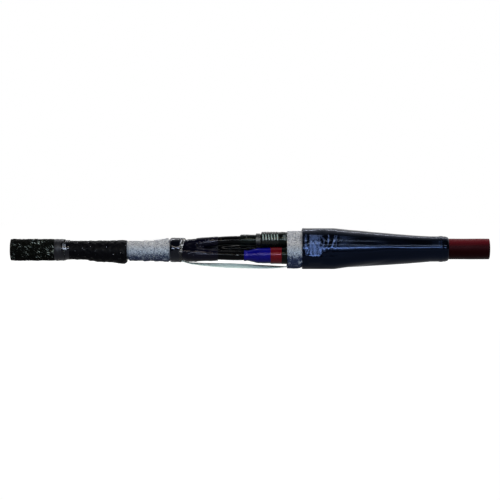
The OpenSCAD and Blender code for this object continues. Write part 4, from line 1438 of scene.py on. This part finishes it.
@dataclass
class Lobes:
    """The outline round an upper lobe and two lower ones, found by the outward direction.

    At each angle the point lies on the circle that reaches furthest that way.
    """

    top_z: Array
    top_r: Array
    low_y: Array
    low_z: Array
    low_r: Array

    def outline(self, x: Array, count: int) -> tuple[Array, Array]:
        """Rings of the outline, with points an even distance apart.

        Args:
            x: places along the piece.
            count: points round each ring.

        Returns:
            The points, rings x count x 3, and the outward angle at each of them.
        """
        values = (self.top_z, self.top_r, self.low_y, self.low_z, self.low_r)
        tz, tr, ly, lz, lr = (np.reshape(v, (-1, 1)) for v in values)
        angle = np.linspace(-0.5 * np.pi, 1.5 * np.pi, 2401)
        c, s = np.cos(angle), np.sin(angle)
        below = np.abs(c) * ly + s * lz + lr
        upper = ease(share(s * tz + tr - below, -0.5, 0.5))
        y = between(np.tanh(c * 60.0) * ly + lr * c, tr * c, upper)
        z = between(lz + lr * s, tz + tr * s, upper)
        run = np.cumsum(np.hypot(np.diff(y), np.diff(z)), axis=1)
        run = np.concatenate([np.zeros((len(x), 1)), run], axis=1)
        marks = run[:, -1:] * np.arange(count) / count
        even = [[np.interp(m, r, v) for v in (yy, zz, angle)] for m, r, yy, zz in zip(marks, run, y, z)]
        y, z, outward = np.moveaxis(np.array(even), 1, 0)
        return np.stack([np.broadcast_to(x[:, None], y.shape), y, z], axis=-1), outward

    @staticmethod
    def grown(points: Array, outward: Array, height: Value) -> Array:
        """Points moved out along their outward angle by a height."""
        step = np.stack([np.zeros_like(outward), np.cos(outward), np.sin(outward)], axis=-1)
        return points + step * np.broadcast_to(height, outward.shape)[..., None]


@dataclass
class MeshBand(Assembly):
    """Knitted mesh over all three bodies, pulled under the sleeve's cut edge."""

    places: tuple[float, ...] = (112, 116, 140, 150, 155, 252, 284)
    top_r: tuple[float, ...] = (28.2, 28.9, 28.9, 28.9, 28.8, 28.8, 28.4)
    low_y: tuple[float, ...] = (26, 26, 26, 26, 26, 26, 27.2)
    low_z: tuple[float, ...] = (35, 35, 35, 36, 38, 38, 40.8)
    low_r: tuple[float, ...] = (32, 33, 33, 33, 31.4, 31.4, 28.2)
    top_z: float = 85.2
    thickness: float = 1.5
    covered_from: float = 170.0
    points_round: int = 256

    def lobes(self, x: Array, inset: float) -> Lobes:
        """The band's outline at x, moved in by an inset."""
        def at(values: tuple[float, ...]) -> Array:
            return np.interp(x, self.places, values)
        return Lobes(np.full(len(x), self.top_z), at(self.top_r) - inset, at(self.low_y), at(self.low_z),
                     at(self.low_r) - inset)

    def build(self) -> None:
        """Makes the band."""
        start, end = self.places[0], self.places[-1]
        x = np.concatenate([steps(start, self.covered_from, 1.2), steps(self.covered_from + 6.0, end, 9.0)])
        points, outward = self.lobes(x, 0.0).outline(x, self.points_round)
        soft = Ripple(101, 0.3, (4, 26), (8.0, 30.0)).at(x, outward)
        outer = Lobes.grown(points, outward, soft)
        outer[..., 0] += 1.2 * np.sin(9.0 * outward + 0.7) * hump(x[:, None], start, 3.0)
        inner_x = x[::5]
        inner = self.lobes(inner_x, self.thickness).outline(inner_x, self.points_round)[0]
        self.place(make_wall("knitted_mesh_band", outer, inner), "tinned_mesh", "mesh_band")


@dataclass
class OuterSleeve(Assembly):
    """The glossy shrunk sleeve: three lobes that run out into a round collar on the red cable."""

    taper: tuple[float, float] = (252.0, 544.0)
    height: float = 123.0
    top_r: float = 60.0
    low_y: float = 26.0
    low_r: float = 38.0
    end_r: float = 38.25
    cable_z: float = 60.0
    thickness: float = 5.0
    lip_x: float = 575.0
    lip_height: float = 1.6
    lip_width: float = 8.0
    floor_gap: float = 0.25
    band_z: float = 63.0
    crown_curve: float = 0.006
    patch: tuple[float, float] = (176.0, 212.0)
    patch_fall: float = 2.4
    patch_tilt: float = 0.05
    folds: tuple[tuple[float, float, float, float, float], ...] = (
        (218, -0.24, 4.4, 0.75, 62), (229, 0.06, 3.8, 0.75, 92), (238, 0.34, 4.6, 0.7, 74),
        (256, 0.12, 3.6, 0.6, 66))
    fold_reach: float = 34.0
    dent: tuple[float, float, float, float, float] = (168, 7, 41, 8, 1.5)
    knit_fade: tuple[float, float] = (205.0, 250.0)
    wave_rise: tuple[float, float] = (250.0, 320.0)
    wave_fade: tuple[float, float] = (420.0, 560.0)
    crown_fade: tuple[float, float] = (380.0, 520.0)
    crown_reach: float = 20.0
    end_run: float = 9.0
    points_round: int = 264
    mastic_bore: float = 30.7
    sheath_bore: float = 28.6

    def lobes(self, x: Array, inset: float) -> Lobes:
        """The sleeve's outline: every lobe grows into the one circle of the collar.

        Args:
            x: places along the sleeve.
            inset: how far the outline is moved in.

        Returns:
            The lobes at each place.
        """
        t = share(x, *self.taper)
        top = between(self.height, self.cable_z + self.end_r, run_out(t, 1.2))
        bottom = between(0.0, self.cable_z - self.end_r, run_out(t, 2.0))
        upper = between(self.top_r, self.end_r, t)
        lower = between(self.low_r, self.end_r, t)
        side = between(self.low_y, 0.0, run_out(t, 1.2))
        return Lobes(top - upper, upper - inset, side, bottom + lower, lower - inset)

    def lip(self, x: Array) -> Array:
        """The upward lip before the sleeve's end."""
        return self.lip_height * np.maximum(0.0, 1.0 - np.abs(x - self.lip_x) / self.lip_width)

    def crown(self, x: Array, z: Array) -> Array:
        """How far the flat sides are drawn in above and below a line that they bulge along.

        The depth is crown_curve * (z - line)^2. The flat patch has no bulge but leans back.

        Args:
            x: places along the sleeve.
            z: heights of the points there.

        Returns:
            The height of each point over the plain outline.
        """
        start, end = self.patch
        flat = share(x, start - 6.0, start) * (1.0 - share(x, end - 4.0, end + 10.0))
        tilt = -self.patch_tilt * flat * np.clip(z - self.band_z, -30.0, 20.0)
        fade = 1.0 - 0.8 * share(x, *self.crown_fade)
        away = np.clip(z - self.band_z, -self.crown_reach, self.crown_reach)
        return tilt - self.crown_curve * (1.0 - flat) * fade * away ** 2

    def drape(self, x: Array, z: Array) -> Array:
        """The sleeve's fall over the end of the padding, and the folds behind it.

        The surface falls at an even slope over the patch and comes back slowly. Each fold
        [place, lean, width, height, level] is a bell along x, moved by its lean with z and
        fading away from its own level. The dent is [place, width, level, reach, height].

        Args:
            x: places along the sleeve.
            z: heights of the points there.

        Returns:
            The height of each point over the plain outline.
        """
        start, end = self.patch
        height = self.patch_fall * (ease(share(x, end + 2.0, end + 50.0)) - share(x, start, end))
        for place, lean, width, rise, level in self.folds:
            bell = hump(x - lean * (z - self.cable_z), place, width)
            height = height + rise * bell * hump(z, level, self.fold_reach)
        place, width, level, reach, rise = self.dent
        return height + rise * hump(x, place, width) * hump(z, level, reach)

    def relief(self, points: Array, outward: Array) -> Array:
        """Height of the surface over the plain outline.

        Bumps of the mesh print through near the cut edge, the sides fall and fold behind it,
        long soft waves run out along the taper, and the sides bulge along a line.

        Args:
            points: the outline's points.
            outward: the outward angle at each of them.

        Returns:
            The height of each point over the plain outline.
        """
        x, z = points[..., 0], points[..., 2]
        bumps = Ripple(111, 0.04, (14, 60), (8.0, 18.0), 36).at(x, outward)
        bumps = bumps * (1.0 - ease(share(x, *self.knit_fade)))
        step = 0.25 * hump(x, 162.0, 5.0) - 0.15 * hump(x, 173.0, 5.0)
        waves = Ripple(113, 0.16, (1, 5), (60.0, 160.0)).at(x, outward)
        waves = waves * ease(share(x, *self.wave_rise)) * (1.0 - 0.7 * share(x, *self.wave_fade))
        side = ease(share(np.abs(np.cos(outward)), 0.75, 0.95))
        flank = ease(share(np.abs(np.cos(outward)), 0.25, 0.7))
        return bumps + step + waves + side * self.crown(x, z) + flank * self.drape(x, z)

    def build(self) -> None:
        """Makes the sleeve, the mastic bead that it squeezed out and the sheath beyond."""
        low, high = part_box("outer_sleeve")
        x = steps(low.x / MM, high.x / MM + self.end_run, 2.0)
        points, outward = self.lobes(x, 0.0).outline(x, self.points_round)
        edge = np.minimum(x - x[0], x[-1] - x)[:, None]
        rounding = 3.0 * share(x, x[-1] - 13.0, x[-1])[:, None] ** 2
        grow = self.relief(points, outward) + self.lip(x)[:, None] - rounding
        grow = grow - 1.6 * (1.0 - share(edge, 0.0, 2.4)) ** 2
        outer = Lobes.grown(points, outward, grow)
        outer[..., 2] = np.maximum(outer[..., 2], self.floor_gap)
        inner_x = steps(x[0], x[-1], 16.0)
        inner = self.lobes(inner_x, self.thickness).outline(inner_x, self.points_round)[0]
        self.place(make_wall("shrunk_outer_sleeve", outer, inner, 55.0), "sleeve_black", "outer_sleeve")
        mastic = Span.of("sealing_mastic")
        self.place(self.bead(mastic), "sealing_mastic", "sealing_mastic")
        self.place(self.sheath(Span.of("red_sheath"), mastic.x1), "sheath_red", "red_sheath")

    def bead(self, span: Span) -> Piece:
        """Mastic between the sleeve and the sheath, squeezed out in an uneven bead.

        Args:
            span: where the mastic lies.

        Returns:
            The bead.
        """
        bore, full = self.mastic_bore, span.radius
        outline = [[span.x0, bore], [span.x0, full], [span.x1 - 5.5, full], [span.x1 - 1.5, full + 0.3],
                   [span.x1, bore + 1.5], [span.x1, bore]]
        profile = refined(bevelled(np.array(outline), 1.0), 1.6)
        along, radius = profile[:, :1], profile[:, 1:]
        angle = circle(120)
        uneven = Ripple(121, 0.3, (3, 15), (6.0, 20.0)).at(along, angle) * hump(along, span.x1, 4.0)
        grid = rings(profile[:, 0], radius + uneven * (radius > bore + 0.8), angle, 0.0, span.z)
        grid[..., 0] += 0.5 * uneven
        return make_piece("squeezed_mastic", grid, Close.TORUS, 60.0)

    def sheath(self, span: Span, bare_from: float) -> Piece:
        """The red sheath, very slightly out of round past the mastic, with its cut end left crisp.

        Args:
            span: where the sheath lies.
            bare_from: where the mastic ends.

        Returns:
            The sheath.
        """
        x = span.places(2.5)
        angle = circle(144)
        ripple = Ripple(131, 0.09, (1, 4), (50.0, 140.0)).at(x, angle)
        radius = np.where(x[:, None] < bare_from, span.radius - 0.5, span.radius + ripple)
        outer = rings(x, radius, angle, 0.0, span.z)
        inner = rings(x[[0, -1]], self.sheath_bore, angle, 0.0, span.z)
        return make_wall("red_cable_sheath", outer, inner)


@dataclass
class EarthBraid(Assembly):
    """The flat plaited braid that runs under the cores from the band to the red cable's screens.

    The route's points are [x, height, tilt in degrees, curl]. At curl 1 the strip lies round
    the mesh under the band, and at curl 0 it is flat.
    """

    width: float = 28.0
    thick: float = 2.4
    lay_r: float = 33.3
    bundle: float = 4.4
    weave: float = 0.28
    face_points: int = 25
    route: tuple[tuple[float, float, float, float], ...] = (
        (-238, 22.7, 0, 1), (-204, 22.7, 0, 1), (-196, 20.6, 2, 0.6), (-188, 18.6, 5, 0.3),
        (-174, 16.4, 9, 0), (-136, 13.4, 17, 0), (-100, 11.6, 24, 0), (-60, 10, 28, 0), (-20, 8.6, 27, 0),
        (20, 7, 22, 0), (60, 6, 17, 0), (88, 6, 9, 0), (108, 6.8, 1, 0), (136, 7.4, 0, 0), (154, 10.4, 0, 0),
        (252, 10.4, 0, 0), (284, 16.6, 0, 0), (306, 23, 0, 0), (320, 30, 0, 0), (342, 30, 0, 0))

    def along(self, x: Array, column: int) -> Array:
        """One value along the route: between two of its points the share is half eased.

        Args:
            x: places along the braid.
            column: 1 for the height, 2 for the tilt and 3 for the curl.

        Returns:
            The value at each place.
        """
        knots = np.array(self.route, float)
        k = np.clip(np.searchsorted(knots[:, 0], x) - 1, 0, len(knots) - 2)
        t = share(x, knots[k, 0], knots[k + 1, 0])
        return between(knots[k, column], knots[k + 1, column], (ease(t) + t) / 2.0)

    def build(self) -> None:
        """Makes the braid: two faces with slanting bundles that pass over and under."""
        x = steps(self.route[0][0], self.route[-1][0], 1.5)
        across = np.sin(np.linspace(-0.5, 0.5, self.face_points) * np.pi)
        c = np.concatenate([across, across[::-1]])
        face = np.repeat([-1.0, 1.0], self.face_points)
        body = np.sqrt(np.maximum(0.0, 1.0 - np.abs(c) ** 6))
        y = c * self.width / 2
        p = (x[:, None] + y) / self.bundle
        q = (x[:, None] - y) / self.bundle
        over = (np.floor(p) + np.floor(q)) % 2 > 0
        bundle = np.where(over, np.abs(np.sin(np.pi * p)), np.abs(np.sin(np.pi * q)))
        z = face * body * (self.thick / 2 - 0.15 + self.weave * (bundle - 0.6))
        height, tilt, curl = (self.along(x, k)[:, None] for k in (1, 2, 3))
        z = z + curl * (self.lay_r - np.sqrt(self.lay_r ** 2 - y ** 2))
        turn = np.radians(tilt)
        grid = np.stack([np.broadcast_to(x[:, None], z.shape), y * np.cos(turn) - z * np.sin(turn),
                         height + y * np.sin(turn) + z * np.cos(turn)], axis=-1)
        self.place(make_piece("plaited_earth_braid", grid, Close.BAR, 70.0), "tinned_mesh", "earth_braid",
                   finish="earth_braid")


@dataclass
class Studio:
    """The camera, the pale floor and the soft lights."""

    distance: float = 5.0
    elevation: float = 1.2
    aim_z: float = 0.057
    lens: float = 119.4
    sensor: float = 36.0
    fill: float = 0.2
    room_tone: float = 0.04
    floor_tone: float = 0.3
    floor_lift: float = 0.95
    floor_size: float = 20.0

    def build(self) -> None:
        """Sets up the whole studio."""
        self.camera()
        self.world()
        self.floor()
        self.lamp("key", 16.8, 0.0, 2.4, (2.8, 0.06), 34.0, (0.8, 0.9, 1.0))
        self.lamp("line", 36.0, 0.0, 2.2, (2.8, 0.03), 16.0, (1.0, 0.86, 0.6))
        self.lamp("side", 24.0, 0.51, 2.2, (0.09, 1.3), 9.0, (0.85, 0.92, 1.0))
        self.lamp("side_high", 62.0, 0.51, 2.2, (0.1, 1.7), 7.5, (0.85, 0.92, 1.0))
        self.lamp("back", 122.0, 0.0, 2.2, (3.0, 0.03), 10.0, WHITE)

    def camera(self) -> None:
        """The camera in front of the joint, at the photograph's angle."""
        data = bpy.data.cameras.new("camera")
        data.lens = self.lens
        data.sensor_width = self.sensor
        camera = bpy.data.objects.new("camera", data)
        up = math.radians(self.elevation)
        camera.location = (0.0, -self.distance * math.cos(up), self.aim_z + self.distance * math.sin(up))
        camera.rotation_euler = (math.pi / 2 - up, 0.0, 0.0)
        bpy.context.scene.collection.objects.link(camera)
        bpy.context.scene.camera = camera

    @staticmethod
    def seen(nodes: Nodes) -> Socket:
        """Tells the rays that look or mirror from those that fill.

        Args:
            nodes: the node tree to add to.

        Returns:
            One for a camera, glossy or transmission ray, and nothing for the others.
        """
        ray = nodes.add("ShaderNodeLightPath").outputs
        mirrored = nodes.math("MAXIMUM", ray["Is Camera Ray"], ray["Is Glossy Ray"])
        return nodes.math("MAXIMUM", mirrored, ray["Is Transmission Ray"])

    @staticmethod
    def toned(nodes: Nodes, where: Socket, reach: tuple[float, float], low: float, high: float) -> Socket:
        """The high strength for a camera ray, and for others one that grows from low to high along +Y.

        Args:
            nodes: the node tree to add to.
            where: the direction or place that is looked at.
            reach: the values of Y at which the strength is low and high.
            low: the strength towards the room behind the camera.
            high: the strength that makes the background white.

        Returns:
            The strength.
        """
        tone = nodes.curve(nodes.axis(where, 1), *reach, low, high)
        camera = nodes.add("ShaderNodeLightPath").outputs["Is Camera Ray"]
        return nodes.feed(nodes.add("ShaderNodeMix"), Factor=camera, A=tone, B=high).outputs["Result"]

    def world(self) -> None:
        """White where it is seen or mirrored, dim towards the room behind the camera, plain as a fill.

        The strength for a mirrored ray runs from room_tone to 1 with its direction along +Y.
        """
        world = bpy.data.worlds.new("studio")
        world.use_nodes = True
        nodes = Nodes(world.node_tree)
        where = nodes.add("ShaderNodeTexCoord").outputs["Generated"]
        tone = self.toned(nodes, where, (-0.1, 0.5), self.room_tone, 1.0)
        strength = nodes.feed(nodes.add("ShaderNodeMix"), Factor=self.seen(nodes), A=self.fill, B=tone)
        nodes.feed(nodes.tree.nodes["Background"], Strength=strength.outputs["Result"], Color=WHITE)
        bpy.context.scene.world = world

    def floor(self) -> None:
        """A wide pale floor that shows the joint's shadow and is lifted to white where it is seen.

        Where it is mirrored, its lift runs down towards room_tone on the camera's side, as the world's does.
        """
        mesh = bpy.data.meshes.new("floor")
        far = self.floor_size
        mesh.from_pydata([(-far, -far, 0), (far, -far, 0), (far, far, 0), (-far, far, 0)], [], [(0, 1, 2, 3)])
        floor = bpy.data.objects.new("floor", mesh)
        bpy.context.scene.collection.objects.link(floor)
        s = Shader("pale_floor")
        lift = self.toned(s, s.place, (-0.1, 0.3), self.room_tone * 3.0, self.floor_lift)
        mesh.materials.append(s.finish((self.floor_tone,) * 3, 0.9, Specular_IOR_Level=0.0,
                                       Emission_Color=WHITE,
                                       Emission_Strength=s.times(self.seen(s), lift)))

    def lamp(self, name: str, elevation: float, offset: float, distance: float, size: tuple[float, float],
             power: float, colour: Triple) -> None:
        """A soft rectangular light that faces the joint's axis.

        Args:
            name: the lamp's name.
            elevation: degrees above the horizon on the camera's side, past 90 behind the joint.
            offset: metres to the right of the joint's middle.
            distance: metres from the joint.
            size: metres along and across.
            power: watts.
            colour: the light's colour.
        """
        data = bpy.data.lights.new(name, "AREA")
        data.shape = "RECTANGLE"
        data.size, data.size_y = size
        data.energy = power
        data.color = colour
        lamp = bpy.data.objects.new(name, data)
        up = math.radians(elevation)
        lamp.location = (offset, -distance * math.cos(up), self.aim_z + distance * math.sin(up))
        lamp.rotation_euler = (math.pi / 2 - up, 0.0, 0.0)
        bpy.context.scene.collection.objects.link(lamp)


def clear_scene() -> None:
    """Removes what a new Blender file holds."""
    for item in list(bpy.data.objects):
        bpy.data.objects.remove(item)


def main() -> None:
    """Loads the frame, sets up the studio, dresses the frame and builds each assembly in order."""
    logging.basicConfig(level=logging.INFO, format="%(name)s: %(message)s")
    clear_scene()
    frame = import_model()
    bpy.context.scene.view_settings.view_transform = "Standard"
    Studio().build()
    wardrobe = Wardrobe()
    wardrobe.dress_frame(frame)
    for assembly in (PaperCable, ArmourWrap, MeshWrap, Breakout, CoreSet, JointBodies, MeshBand, OuterSleeve,
                     EarthBraid):
        assembly(wardrobe).build()


if __name__ == "__main__":
    main()
